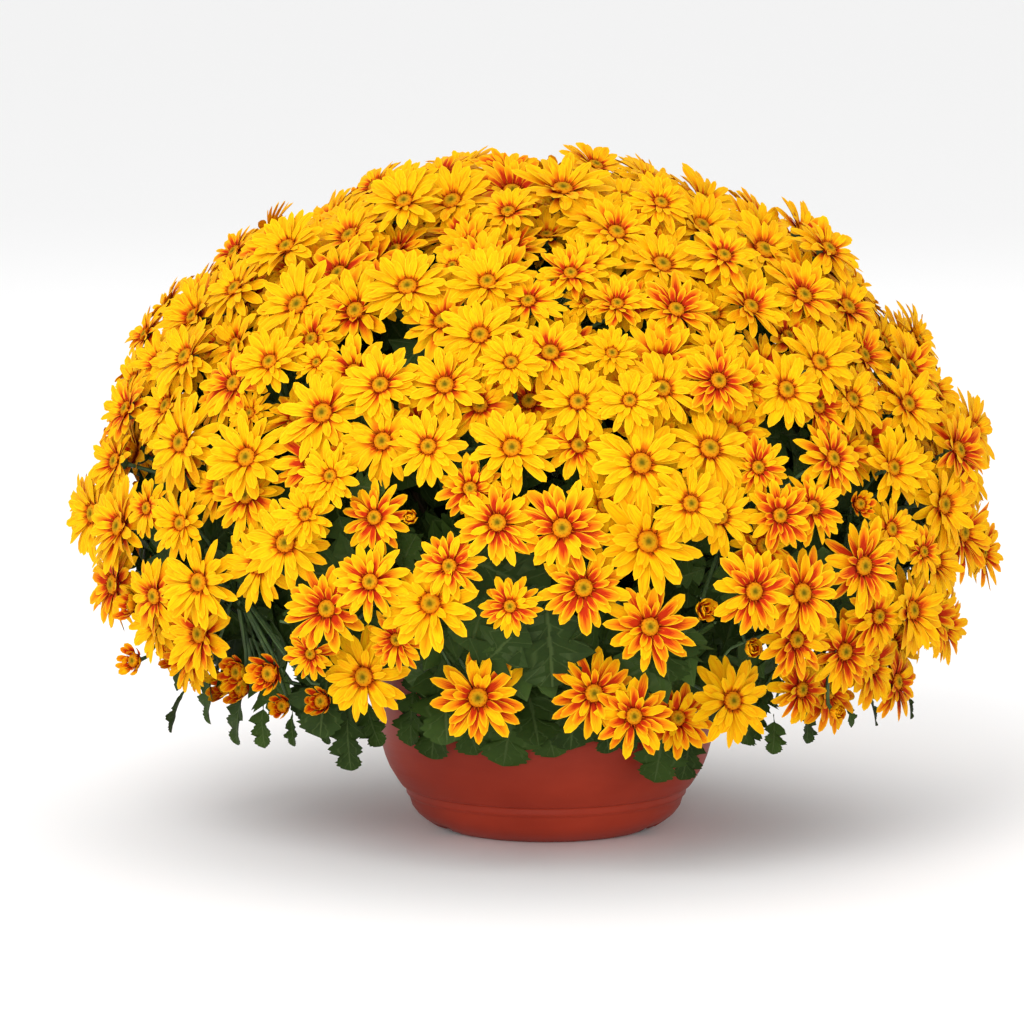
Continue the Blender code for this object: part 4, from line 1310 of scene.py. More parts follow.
@dataclass
class Blade:
    """A lobed leaf blade on its stalk: a closed thin sheet.

    The outline gives, for each share of the length, the half width and how far the edge is swept forward.
    The sheet droops with the square of the way along, folds up along the midrib and waves at its edges.
    """

    outline: tuple[tuple[float, float, float], ...]
    spread: tuple[float, ...]

    thickness = 0.00055
    droop = 0.20
    fold = 0.20
    wave = 0.035
    wave_turns = 13.0
    wave_shift = 2.2
    sweep_power = 1.5
    widths = (0.86, 1.12)
    bends = (0.7, 1.4)
    stalk_end = 0.001

    def shapes(self, leaves: list[Leaf], rng: Random, finish: int) -> Shapes:
        """The blades of the leaves.

        Args:
            leaves: where they grow.
            rng: the random draws.
            finish: the material's number.

        Returns:
            The blades.
        """
        count = len(leaves)
        length = of_all(leaves, "length")[:, None, None]
        root = of_all(leaves, "root")[:, None, None]
        along = unit(of_all(leaves, "along"))
        across = unit(np.cross(of_all(leaves, "up"), along))
        up = np.cross(along, across)
        half = np.array(self.spread)
        sides = np.concatenate([half, -half[::-1][1:]])
        loop = np.concatenate([sides, sides[::-1][1:-1]])
        is_low = np.concatenate([np.zeros(len(sides)), np.ones(len(sides) - 2)])
        ways, widths, sweeps = np.array(self.outline).T[..., None]
        u = ways + sweeps * np.abs(loop) ** self.sweep_power
        v = widths * loop
        stretch = rng.uniform(*self.widths, (count, 1, 1))
        bend = rng.uniform(*self.bends, (count, 1, 1))
        phase = rng.uniform(0, 2 * np.pi, (count, 1, 1))
        lift = self.fold * np.abs(v) - self.droop * bend * u**2
        ripple = np.sin(self.wave_turns * u + self.wave_shift * np.sign(loop) + phase)
        lift = lift + self.wave * ripple * np.abs(loop)
        inner = 1.0 - np.abs(loop) ** 2
        lift = lift - is_low * inner * self.thickness / length
        grid = root + (along[:, None, None] * u[..., None]) * length[..., None]
        grid = grid + across[:, None, None] * (v * stretch * length)[..., None]
        grid = grid + up[:, None, None] * (lift * length)[..., None]
        tip = root[:, 0, 0] + along * length[:, 0] - up * (self.droop * bend[:, 0] * length[:, 0])
        blades = Shapes.lofted(
            grid,
            root[:, 0, 0] - along * self.stalk_end,
            tip,
            finish,
            along=ways[None],
            across=loop,
            under=is_low * inner,
            tint=rng.uniform(0, 1, (count, 1, 1)),
        )
        blades.marks[Mark.ALONG][:, -1] = 1.0
        return blades


# A chrysanthemum leaf's corner points, as share along and half width: stalk, two pairs of lobes and end lobe
LEAF_LOBES = (
    (0.00, 0.022), (0.20, 0.028), (0.27, 0.20), (0.38, 0.37), (0.455, 0.17), (0.50, 0.30),
    (0.60, 0.40), (0.685, 0.19), (0.74, 0.26), (0.84, 0.25), (0.93, 0.16), (0.985, 0.06),
)
LEAF_STALK = 0.22
LEAF_TEETH = 10.0
LEAF_SWEEP = 0.11


def leaf_outline(rows: int, teeth: float) -> tuple[tuple[float, float, float], ...]:
    """The outline of a chrysanthemum leaf.

    The half width runs straight between the lobes' corner points and is cut by fine teeth in a sine.

    Args:
        rows: how many stations it has. With fewer than the corner points, the corner points are the stations.
        teeth: how deep the teeth are, as a share of the width.

    Returns:
        Stations of share along, half width and forward sweep.
    """
    lobes = np.array(LEAF_LOBES)
    ways = lobes[:-1, 0] if rows < len(lobes) else np.linspace(0.0, lobes[-1, 0], rows)
    width = np.interp(ways, lobes[:, 0], lobes[:, 1])
    blade = np.clip((ways - LEAF_STALK) / (1 - LEAF_STALK), 0.0, 1.0)
    saw = teeth * np.sin(2 * np.pi * LEAF_TEETH * blade) * np.clip(4 * blade, 0.0, 1.0)
    sweep = LEAF_SWEEP * np.sin(np.pi * blade)
    return tuple(zip(ways.tolist(), (width * (1 + saw)).tolist(), sweep.tolist()))


FINE_BLADE = Blade(leaf_outline(36, 0.13), (1.0, 0.62, 0.0))
PLAIN_BLADE = Blade(leaf_outline(11, 0.0), (1.0, 0.0))


@dataclass
class Shade:
    """Tells whether a leaf stays below the flowers, so that none pokes up through the petals.

    A probe is a point of a leaf, as shares of its length along it, across it and down from it.
    """

    centres: Array
    facings: Array

    clearance = 0.006
    nearest = 4
    probes = (
        (0.60, 0.00, 0.0), (0.62, 0.36, 0.0), (0.62, -0.36, 0.0), (1.00, 0.00, 0.2),
    )

    def below(self, leaf: Leaf) -> bool:
        """Whether the leaf's middle, sides and tip lie below the flowers nearest to each.

        Args:
            leaf: the leaf.

        Returns:
            True where it stays below them.
        """
        axes = np.array([unit(leaf.along), unit(np.cross(leaf.up, leaf.along)), -leaf.up])
        gaps = (leaf.root + np.array(self.probes) @ axes * leaf.length)[:, None] - self.centres[None]
        order = np.argsort(np.linalg.norm(gaps, axis=2), axis=1)[:, : self.nearest]
        heights = np.einsum("pfk,fk->pf", gaps, self.facings)
        near = np.take_along_axis(heights, order, axis=1)
        is_clear = near.mean(axis=1) < -self.clearance
        return bool(is_clear.all() and (near[:, 0] < -self.clearance / 2).all())

    def first_below(self, draw: Callable[[], Leaf], tries: int) -> list[Leaf]:
        """Draws leaves until one stays below the flowers.

        Args:
            draw: gives a random leaf.
            tries: the most leaves that are drawn.

        Returns:
            That leaf, or none.
        """
        for _ in range(tries):
            leaf = draw()
            if self.below(leaf):
                return [leaf]
        return []


@dataclass
class Spray:
    """A spray: its flowers on stalks that part from one hub, with small leaves on the stalks."""

    node: str
    flowers: list[Flower]
    seed: int

    leaf_tries = 6
    leaf_places = (0.10, 0.72)
    leaf_lengths = (0.024, 0.038)

    def hub(self) -> Array:
        """The hub, in the middle of where the stalks point back to."""
        return np.median(of_all(self.flowers, "hub"), axis=0)

    def outward(self) -> Array:
        """The spray's mean direction from its hub."""
        return unit(np.mean(of_all(self.flowers, "centre"), axis=0) - self.hub())

    def build(self, greens: Greens, shade: Shade, finishes: Finishes) -> list[Object]:
        """Builds the spray's petals with their discs, and its green parts.

        Args:
            greens: the sizes of cups and stalks.
            shade: the test that keeps leaves below the flowers.
            finishes: the materials by name.

        Returns:
            The two pieces.
        """
        rng = np.random.default_rng(self.seed)
        petals = Petals().shapes(self.flowers, rng) + Disc().shapes(self.flowers, rng)
        bloom = make_piece(f"{self.node}_blooms", petals, [finishes["petal"], finishes["disc"]])
        curves = greens.curves(self.flowers)
        parts = [greens.cups(self.flowers), greens.stalks(curves)]
        leaves = self.stalk_leaves(curves, shade, rng)
        if leaves:
            parts.append(PLAIN_BLADE.shapes(leaves, rng, 1))
        green = make_piece(f"{self.node}_greens", parts, [finishes["stalk"], finishes["leaf"]])
        settle(bloom, self.node)
        settle(green, self.node)
        return [bloom, green]

    def stalk_leaves(self, curves: Array, shade: Shade, rng: Random) -> list[Leaf]:
        """Small leaves that grow from the stalks of the larger flowers, below the flowers.

        Args:
            curves: the stalks' control points.
            shade: the test that keeps them below the flowers.
            rng: the random draws.

        Returns:
            The leaves.
        """
        found = []
        for flower, curve in zip(self.flowers, curves):
            if flower.habit is not Habit.FILL:
                found += shade.first_below(lambda: self.stalk_leaf(curve, rng), self.leaf_tries)
        return found

    def stalk_leaf(self, curve: Array, rng: Random) -> Leaf:
        """A leaf at a random place of a stalk."""
        return leaf_from(curve, rng.uniform(*self.leaf_places), LEAF_STEP, rng, self.leaf_lengths)


LEAF_STEP = 0.02
LEAF_LEANS = (math.radians(38), math.radians(80))


def leaf_from(curve: Array, way: float, step: float, rng: Random, lengths: Pair) -> Leaf:
    """A leaf that leaves a stalk to a random side, leaning forward, its upper side towards the stalk's tip.

    Args:
        curve: the stalk's control points.
        way: where on the stalk it grows, from 0 to 1.
        step: how far on the second point lies that gives the stalk's direction.
        rng: the random draws.
        lengths: its shortest and longest length.

    Returns:
        The leaf.
    """
    root, ahead = bezier(curve[None], np.array((way, way + step)))[0]
    axis = unit(ahead - root)
    side, across = square_to(axis[None])
    turn = rng.uniform(0, 2 * np.pi)
    lean = rng.uniform(*LEAF_LEANS)
    flat = side[0] * math.cos(turn) + across[0] * math.sin(turn)
    along = axis * math.cos(lean) + flat * math.sin(lean)
    return Leaf(root, along, unit(axis - (axis @ along) * along), float(rng.uniform(*lengths)))


class View:
    """The camera's frame, to go between points of the plant and pixels of the photograph's frame."""

    ahead = unit(VIEW_AT - VIEW_FROM)
    right = unit(np.cross(ahead, UP))
    up = np.cross(right, ahead)
    focal = VIEW_LENS / VIEW_SENSOR * FRAME_SIDE

    @classmethod
    def pixels(cls, points: Array) -> tuple[Array, Array]:
        """The column and row of each point."""
        gaps = points - VIEW_FROM
        depth = gaps @ cls.ahead
        column = FRAME_SIDE / 2 + gaps @ cls.right / depth * cls.focal
        return column, FRAME_SIDE / 2 - gaps @ cls.up / depth * cls.focal

    @classmethod
    def ray(cls, column: float, row: float) -> Array:
        """The line of sight through a pixel, of length 1 along the camera's axis."""
        aside = (column - FRAME_SIDE / 2) / cls.focal
        return cls.ahead + aside * cls.right + (FRAME_SIDE / 2 - row) / cls.focal * cls.up

    @classmethod
    def at_reach(cls, column: float, row: float, reach: float) -> Array:
        """Where the line of sight first comes within a distance of the pan's axis.

        Args:
            column: the pixel's column.
            row: its row.
            reach: the distance from the axis.

        Returns:
            The point.
        """
        way = cls.ray(column, row)
        square = way[:2] @ way[:2]
        slope = way[:2] @ VIEW_FROM[:2]
        spare = slope**2 - square * (VIEW_FROM[:2] @ VIEW_FROM[:2] - reach**2)
        return VIEW_FROM + way * (-slope - math.sqrt(max(spare, 0.0))) / square


class Lean:
    """How the flowers lean: outwards on top, away from an axis behind, and to the light in front.

    Within the ramp's distance of that axis, and of where the front begins, they lean less.
    """

    axis = (-0.008, 0.085)
    amount = 0.62
    to_light = 0.38
    light_from = 0.10
    ramp = 0.06
    draw_in = 0.006
    sink = {Habit.FULL: 0.003, Habit.FILL: 0.008}

    def apply(self, flowers: list[Flower]) -> None:
        """Turns each flower outwards by the amount times the square of how far up it faces.

        A flower on the side turns to the front by the light's share, and one that leans sinks a little.

        Args:
            flowers: all the flowers.
        """
        for flower in flowers:
            upward = max(flower.facing[2], 0.0) ** 2
            out = flower.centre - (*self.axis, flower.centre[2])
            share = min(np.linalg.norm(out) / self.ramp, 1.0)
            front = np.clip((self.light_from - flower.centre[1]) / self.ramp, 0.0, 1.0)
            front = front * abs(flower.facing[0])
            flower.centre = flower.centre - UP * upward * share * self.sink.get(flower.habit, 0.0)
            flower.centre = flower.centre - flower.facing * self.draw_in * front
            turned = flower.facing + unit(out) * share * self.amount * upward
            flower.facing = unit(turned - BACK * self.to_light * front)


class HalfOpen:
    """Flowers that the view shows half open, each by its pixel, and one that it shows fully open."""

    spots = (
        (265, 673, 0.0120), (319, 700, 0.0100), (233, 687, 0.0110), (215, 686, 0.0110), (111, 592, 0.0120),
    )
    open_spot = (781, 514)
    open_radius = 0.0195
    near = 8.0

    def apply(self, flowers: list[Flower]) -> None:
        """Sets the habit and radius of the flowers at the pixels, and makes the solids' buds half open.

        Args:
            flowers: the flowers read from the solids.
        """
        for flower, column, row in zip(flowers, *View.pixels(of_all(flowers, "centre"))):
            if flower.habit is Habit.BUD:
                flower.habit = Habit.CUP
            if math.hypot(column - self.open_spot[0], row - self.open_spot[1]) < self.near:
                flower.habit, flower.radius = Habit.FILL, self.open_radius
            for spot_column, spot_row, radius in self.spots:
                if math.hypot(column - spot_column, row - spot_row) < self.near and flower.facing[1] < 0:
                    flower.habit, flower.radius = Habit.CUP, radius


class Infill:
    """Smaller flowers that open a little lower, in the widest gaps between the flowers read from the solids.

    The pixels are read one by one: places that stay bare with their reach, and flowers with their radius.
    """

    count = 205
    candidates = 12000
    neighbours = 6
    sink = (0.002, 0.012)
    radius = (0.0190, 0.0245)
    tilt = 0.22
    low_weight = 0.50
    low_below = 0.17
    high_above = 0.29
    depth_from = 3
    seen_from = -0.1
    to_view = 0.4
    bare = (
        (500, 640, 52), (545, 668, 40), (690, 570, 26), (440, 665, 30), (405, 320, 36), (232, 700, 60),
        (150, 690, 50), (800, 430, 26), (490, 705, 80), (560, 720, 90), (205, 640, 30), (300, 720, 60),
        (500, 478, 22), (412, 505, 22), (625, 335, 20), (760, 308, 16), (250, 510, 22), (860, 500, 22),
        (280, 572, 22),
    )
    buds = (
        (707, 609, 0.0062), (754, 648, 0.0062), (410, 517, 0.0046), (840, 712, 0.0060), (235, 412, 0.0070),
        (372, 272, 0.0055),
    )
    half_open = (
        (280, 706, 0.0085), (128, 660, 0.0095), (863, 503, 0.0080), (940, 590, 0.0080), (612, 352, 0.0100),
    )
    small = (
        (634, 716, 0.0215), (470, 487, 0.0180), (548, 230, 0.0235), (586, 258, 0.0195), (470, 235, 0.0190),
    )

    @staticmethod
    def owned(sprays: list[Spray]) -> tuple[list[tuple[Spray, Flower]], Array, Array]:
        """Every flower with its spray, and the flowers' centres and facings."""
        owners = [(spray, flower) for spray in sprays for flower in spray.flowers]
        flowers = [flower for _, flower in owners]
        return owners, of_all(flowers, "centre"), of_all(flowers, "facing")

    def grow(self, sprays: list[Spray], seed: int) -> None:
        """Adds the flowers to the sprays that hold their neighbours.

        Each candidate is a random mean of a flower and two of its nearest neighbours. The candidate farthest
        from every flower is taken, again and again, and lower ones count for less.

        Args:
            sprays: the sprays, which gain flowers.
            seed: the seed of the random draws.
        """
        rng = np.random.default_rng(seed)
        owners, centres, facings = self.owned(sprays)
        spans = np.linalg.norm(centres[:, None] - centres[None], axis=2)
        nearest = np.argsort(spans, axis=1)[:, : self.neighbours + 1]
        first = rng.integers(0, len(centres), self.candidates)
        others = nearest[first[:, None], rng.integers(1, self.neighbours + 1, (self.candidates, 2))]
        trio = np.concatenate([first[:, None], others], axis=1)
        share = rng.dirichlet((1.0, 1.0, 1.0), self.candidates)[..., None]
        facing = unit((facings[trio] * share).sum(axis=1) + rng.normal(0.0, self.tilt, (self.candidates, 3)))
        spots = (centres[trio] * share).sum(axis=1)
        spots = spots - facing * rng.uniform(*self.sink, (self.candidates, 1))
        weight = np.interp(spots[:, 2], [self.low_below, self.high_above], [self.low_weight, 1.0])
        gap = np.linalg.norm(spots[:, None] - centres[None], axis=2).min(axis=1)
        columns, rows = View.pixels(spots)
        for column, row, reach in self.bare:
            shown = (facing @ -View.ahead > 0) & (np.hypot(columns - column, rows - row) < reach)
            weight = np.where(shown, 0.0, weight)
        for _ in range(self.count):
            best = int((gap * weight).argmax())
            spray, near = owners[first[best]]
            radius = float(rng.uniform(*self.radius))
            spray.flowers.append(Flower(spots[best], facing[best], radius, near.hub, Habit.FILL))
            gap = np.minimum(gap, np.linalg.norm(spots - spots[best], axis=1))

    def grow_named(self, sprays: list[Spray]) -> None:
        """Adds the buds and small flowers that the view shows, each at its pixel and its neighbours' depth.

        Args:
            sprays: the sprays, which gain flowers.
        """
        owners, centres, facings = self.owned(sprays)
        columns, rows = View.pixels(centres)
        away = np.where(facings @ -View.ahead > self.seen_from, 0.0, TURNED_AWAY)
        for spots, habit in ((self.buds, Habit.BUD), (self.half_open, Habit.CUP), (self.small, Habit.FILL)):
            for column, row, radius in spots:
                near = np.argsort(np.hypot(columns - column, rows - row) + away)[: self.depth_from]
                depth = float(((centres[near] - VIEW_FROM) @ View.ahead).mean())
                centre = VIEW_FROM + View.ray(column, row) * depth
                spray, flower = owners[near[0]]
                facing = unit(facings[near].mean(axis=0) - View.ahead * self.to_view)
                spray.flowers.append(Flower(centre, facing, radius, flower.hub, habit))


@dataclass
class LeafyStem:
    """A woody stem that forks to its sprays, with its leaves on the branches and twigs."""

    node: str
    index: int
    leaves: list[Leaf]
    seed: int
    gap_leaves: list[Leaf] = field(default_factory=list)
    sprays: list[Spray] = field(default_factory=list)

    route = (
        (0.044, 0.068), (0.044, 0.096), (0.047, 0.120), (0.060, 0.155), (0.080, 0.200),
    )
    radii = (0.0045, 0.0044, 0.0040, 0.0034, 0.0026)
    stem_steps = 13
    branch_steps = 12
    stem_sides = 10
    branch_sides = 7
    twig_sides = 4
    fork_height = (0.055, 0.42)
    fork_range = (0.118, 0.185)
    branch_rise = 0.55
    branch_ahead = 0.6
    branch_bows = (0.36, 0.30)
    branch_radius = (0.0026, 0.0017)
    branch_green = 0.25
    twig_radius = 0.0009
    twig_from = 0.1
    twig_places = 24
    twig_bows = (0.4, 0.3)
    leaves_per_branch = 10
    leaves_per_stem = 34
    leaf_tries = 8
    leaf_reach = 0.80
    leaf_crowd = 1.4
    leaf_lengths = (0.038, 0.056)
    stem_leaf_heights = (0.100, 0.190)
    stem_leaf_rises = (0.0, 0.9)
    stem_leaf_lengths = (0.048, 0.068)

    def side(self) -> Pair:
        """The way from the pan's axis to the stem. The first stem stands in front."""
        azimuth = -math.pi / 2 + 2 * math.pi * self.index / STEM_COUNT
        return math.cos(azimuth), math.sin(azimuth)

    def stem_path(self) -> Array:
        """The stem's centre line, from its root in the soil upwards and outwards."""
        out = np.array((*self.side(), 0.0))
        corners = np.array([out * reach + UP * height for reach, height in self.route])
        ways = np.linspace(0, len(corners) - 1, self.stem_steps)
        return np.stack([np.interp(ways, np.arange(len(corners)), corners[:, i]) for i in range(3)], axis=1)

    def branch_curves(self, path: Array) -> Array:
        """The control points of the branches, from forks on the stem to the sprays' hubs.

        Args:
            path: the stem's centre line.

        Returns:
            The points, (branches, 4, 3).
        """
        curves = []
        base, slope = self.fork_height
        fork_bow, hub_bow = self.branch_bows
        for spray in self.sprays:
            hub = spray.hub()
            height = float(np.clip(base + slope * hub[2], *self.fork_range))
            fork = path[int(np.abs(path[:, 2] - height).argmin())]
            span = np.linalg.norm(hub - fork)
            rise = fork + (UP * self.branch_rise + unit(hub - fork) * self.branch_ahead) * span * fork_bow
            curves.append([fork, rise, hub - spray.outward() * span * hub_bow, hub])
        return np.array(curves)

    def branch_leaves(self, curves: Array, shade: Shade, rng: Random) -> list[Leaf]:
        """Leaves along the branches, thicker towards their ends.

        Args:
            curves: the branches' control points.
            shade: the test that keeps them below the flowers.
            rng: the random draws.

        Returns:
            The leaves.
        """
        found = []
        for curve in curves:
            for _ in range(self.leaves_per_branch):
                found += shade.first_below(lambda: self.branch_leaf(curve, rng), self.leaf_tries)
        return found

    def branch_leaf(self, curve: Array, rng: Random) -> Leaf:
        """A leaf at a random place of a branch, more often near its end."""
        way = 1.0 - self.leaf_reach * rng.uniform(0.0, 1.0) ** self.leaf_crowd
        return leaf_from(curve, way - LEAF_STEP, LEAF_STEP, rng, self.leaf_lengths)

    def stem_leaf(self, path: Array, rng: Random) -> Leaf:
        """A large leaf low on the stem, which fills the plant's dark inside and stays above the pan's rim.

        Args:
            path: the stem's centre line.
            rng: the random draws.

        Returns:
            The leaf.
        """
        height = rng.uniform(*self.stem_leaf_heights)
        root = np.array([np.interp(height, path[:, 2], path[:, axis]) for axis in range(3)])
        turn = rng.uniform(0, 2 * np.pi)
        rise = rng.uniform(*self.stem_leaf_rises)
        along = unit(np.array((math.cos(turn), math.sin(turn), rise)))
        length = float(rng.uniform(*self.stem_leaf_lengths))
        return Leaf(root, along, unit(UP - (UP @ along) * along), length)

    def twig_curves(self, branches: Array) -> Array:
        """Twigs from the nearest branch to the root of each large leaf and each leaf in a gap.

        Args:
            branches: the branches' control points.

        Returns:
            The points, (twigs, 4, 3).
        """
        line = bezier(branches, np.linspace(self.twig_from, 1.0, self.twig_places)).reshape(-1, 3)
        near, far = self.twig_bows
        curves = []
        for leaf in self.leaves + self.gap_leaves:
            start = line[int(np.linalg.norm(line - leaf.root, axis=1).argmin())]
            way = leaf.root - start
            end = leaf.root - leaf.along * np.linalg.norm(way) * far
            curves.append([start, start + way * near, end, leaf.root])
        return np.array(curves)

    def build(self, shade: Shade, finishes: Finishes) -> list[Object]:
        """Builds the stem with its branches and twigs, and its leaves.

        Args:
            shade: the test that keeps leaves below the flowers.
            finishes: the materials by name.

        Returns:
            The two pieces.
        """
        rng = np.random.default_rng(self.seed)
        path = self.stem_path()
        stations = np.arange(len(self.radii))
        radii = np.interp(np.linspace(0, stations[-1], len(path)), stations, self.radii)
        branches = self.branch_curves(path)
        ways = np.linspace(0, 1, self.branch_steps)
        thick = np.interp(ways, [0, 1], self.branch_radius)
        green = self.branch_green + (1 - self.branch_green) * ways
        fine = ways[::2]
        twigs = bezier(self.twig_curves(branches), fine)
        thin = np.full((1, len(fine)), self.twig_radius)
        wood = [
            tubes(path[None], radii[None], self.stem_sides, 0, along=0.0),
            tubes(bezier(branches, ways), thick[None], self.branch_sides, 0, along=green[None, :, None]),
            tubes(twigs, thin, self.twig_sides, 0, along=1.0),
        ]
        stem = make_piece(f"{self.node}_wood", wood, [finishes["stalk"]])
        extra = self.branch_leaves(branches, shade, rng)
        for _ in range(self.leaves_per_stem):
            extra += shade.first_below(lambda: self.stem_leaf(path, rng), self.leaf_tries)
        blades = [FINE_BLADE.shapes(self.leaves, rng, 0), PLAIN_BLADE.shapes(extra + self.gap_leaves, rng, 0)]
        foliage = make_piece(f"{self.node}_leaves", blades, [finishes["leaf"]])
        settle(stem, self.node)
        settle(foliage, self.node)
        return [stem, foliage]


def stem_towards(stems: list[LeafyStem], way: Array) -> LeafyStem:
    """The stem on the side of the pan's axis that a vector points to."""
    sides = np.array([stem.side() for stem in stems])
    return stems[int((sides @ way[:2]).argmax())]


def around_axis(reach: Array, height: Array, sides: int) -> Array:
    """Rings round the pan's axis, (1, rows, sides, 3), from distances (rows, 1) and their heights."""
    angles = 2 * np.pi * np.arange(sides) / sides
    return np.stack([reach * np.cos(angles), reach * np.sin(angles), height + 0 * angles], axis=-1)[None]


class Pan:
    """The low plastic pan: a turned shell with a rim band, a step, a faint second ring and three drain gaps.

    Profiles are distances from the axis with heights. The drain gaps' azimuths are in degrees.
    """

    node = "pan"
    segments = 144
    outside = (
        (0.0995, 0.1050), (0.1020, 0.1050), (0.1032, 0.1044), (0.1035, 0.1032), (0.1035, 0.0990),
        (0.1031, 0.0979), (0.1012, 0.0974), (0.1009, 0.0960), (0.1003, 0.0860), (0.0992, 0.0700),
        (0.0974, 0.0535), (0.0962, 0.0480), (0.0944, 0.0415), (0.0918, 0.0350), (0.0882, 0.0290),
        (0.0856, 0.0250), (0.0849, 0.0241), (0.0842, 0.0238), (0.0827, 0.0236), (0.0819, 0.0231),
        (0.0818, 0.0222), (0.0820, 0.0200), (0.0818, 0.0188), (0.0806, 0.0182), (0.0802, 0.0168),
        (0.0786, 0.0118), (0.0758, 0.0080), (0.0720, 0.0048), (0.0680, 0.0022), (0.0640, 0.0006),
        (0.0622, 0.0000), (0.0600, 0.0000),
    )
    base = (0.056, 0.050, 0.040, 0.030, 0.012)
    inner_floor = (0.012, 0.050, 0.068)
    wall = 0.0022
    floor = 0.0050
    floor_corner = 0.004
    gap_azimuths = (-150.0, -30.0, 90.0)
    gap_half_width = 0.0070
    gap_edge = 0.4
    gap_height = 0.0050
    gap_from = 0.0380

    def build(self, finishes: Finishes) -> list[Object]:
        """Builds the pan: the profile is carried round the axis, and its base rises at each drain gap.

        Args:
            finishes: the materials by name.

        Returns:
            The pan.
        """
        outer = np.array(self.outside)
        inner = outer[outer[:, 1] > self.floor + self.floor_corner][::-1] - (self.wall, 0.0)
        inner = np.concatenate([[(reach, self.floor) for reach in self.inner_floor], inner])
        inner = inner[inner[:, 0] < self.outside[0][0]]
        outline = np.concatenate([inner, outer, [(reach, 0.0) for reach in self.base]])
        reach = outline[:, :1]
        height = np.repeat(outline[:, 1:], self.segments, axis=1)
        base_start = len(inner) + np.searchsorted(-outer[:, 1], -self.gap_height)
        is_base = np.arange(len(outline))[:, None] >= base_start
        height = np.where(is_base, np.maximum(height, self.gaps(reach) * self.gap_height), height)
        first, last = np.array([(0.0, 0.0, self.floor)]), np.zeros((1, 3))
        shell = Shapes.lofted(around_axis(reach, height, self.segments), first, last, 0)
        pan = make_piece("pan_shell", [shell], [finishes["pan"]])
        settle(pan, self.node)
        return [pan]

    def gaps(self, reach: Array) -> Array:
        """Where the drain gaps are, from 0 beside them to 1 inside them.

        Args:
            reach: the rings' distances from the axis, (rows, 1).

        Returns:
            The shares, (rows, segments).
        """
        angles = 2 * np.pi * np.arange(self.segments) / self.segments
        low = np.zeros((len(reach), self.segments))
        for azimuth in np.radians(self.gap_azimuths):
            turn = (angles - azimuth + np.pi) % (2 * np.pi) - np.pi
            aside = np.abs(np.sin(turn)) * reach / self.gap_half_width
            share = np.clip(1 + self.gap_edge - aside, 0.0, self.gap_edge) / self.gap_edge
            low = np.maximum(low, np.where((np.cos(turn) > 0) & (reach > self.gap_from), share, 0.0))
        return low


class Soil:
    """The soil's crumbly top over a plain fill: rings whose height sums waves and random crumbs."""

    node = "soil"
    segments = 96
    rings = 32
    level = 0.0905
    crown = 0.0025
    edge = 0.0976
    inmost = 0.03
    crumbs = 0.0011
    crumb_divisor = 1.8
    waves = 0.0012
    wave_turns = 3
    wave_twist = 7.0
    edge_fade = 12.0
    middle_fade = 6.0
    middle_least = 0.2
    bottom = 0.0056
    wall = (
        (0.058, 0.0056), (0.066, 0.0075), (0.076, 0.0180), (0.086, 0.0335), (0.0945, 0.0540),
    )

    def build(self, finishes: Finishes) -> list[Object]:
        """Builds the soil.

        Args:
            finishes: the materials by name.

        Returns:
            The soil.
        """
        rng = np.random.default_rng(SOIL_SEED)
        share = np.linspace(1.0, self.inmost, self.rings)[:, None]
        angles = 2 * np.pi * np.arange(self.segments) / self.segments
        rough = rng.normal(0.0, self.crumbs, (self.rings, self.segments))
        rough = (rough + np.roll(rough, 1, axis=1) + np.roll(rough, -1, axis=1)) / self.crumb_divisor
        waves = self.waves * np.sin(self.wave_turns * angles + self.wave_twist * share) * share
        fade = np.clip((1.0 - share) * self.edge_fade, 0.0, 1.0)
        fade = fade * np.clip(share * self.middle_fade, self.middle_least, 1.0)
        height = self.level + self.crown * (1 - share**2) + (rough + waves) * fade
        wall = np.array(self.wall)
        low = around_axis(wall[:, :1], wall[:, 1:], self.segments)
        top = around_axis(share * self.edge, height, self.segments)
        first, last = (np.array([(0.0, 0.0, end)]) for end in (self.bottom, self.level + self.crown))
        fill = Shapes.lofted(np.concatenate([low, top], axis=1), first, last, 0)
        soil = make_piece("soil_fill", [fill], [finishes["soil"]])
        settle(soil, self.node)
        return [soil]


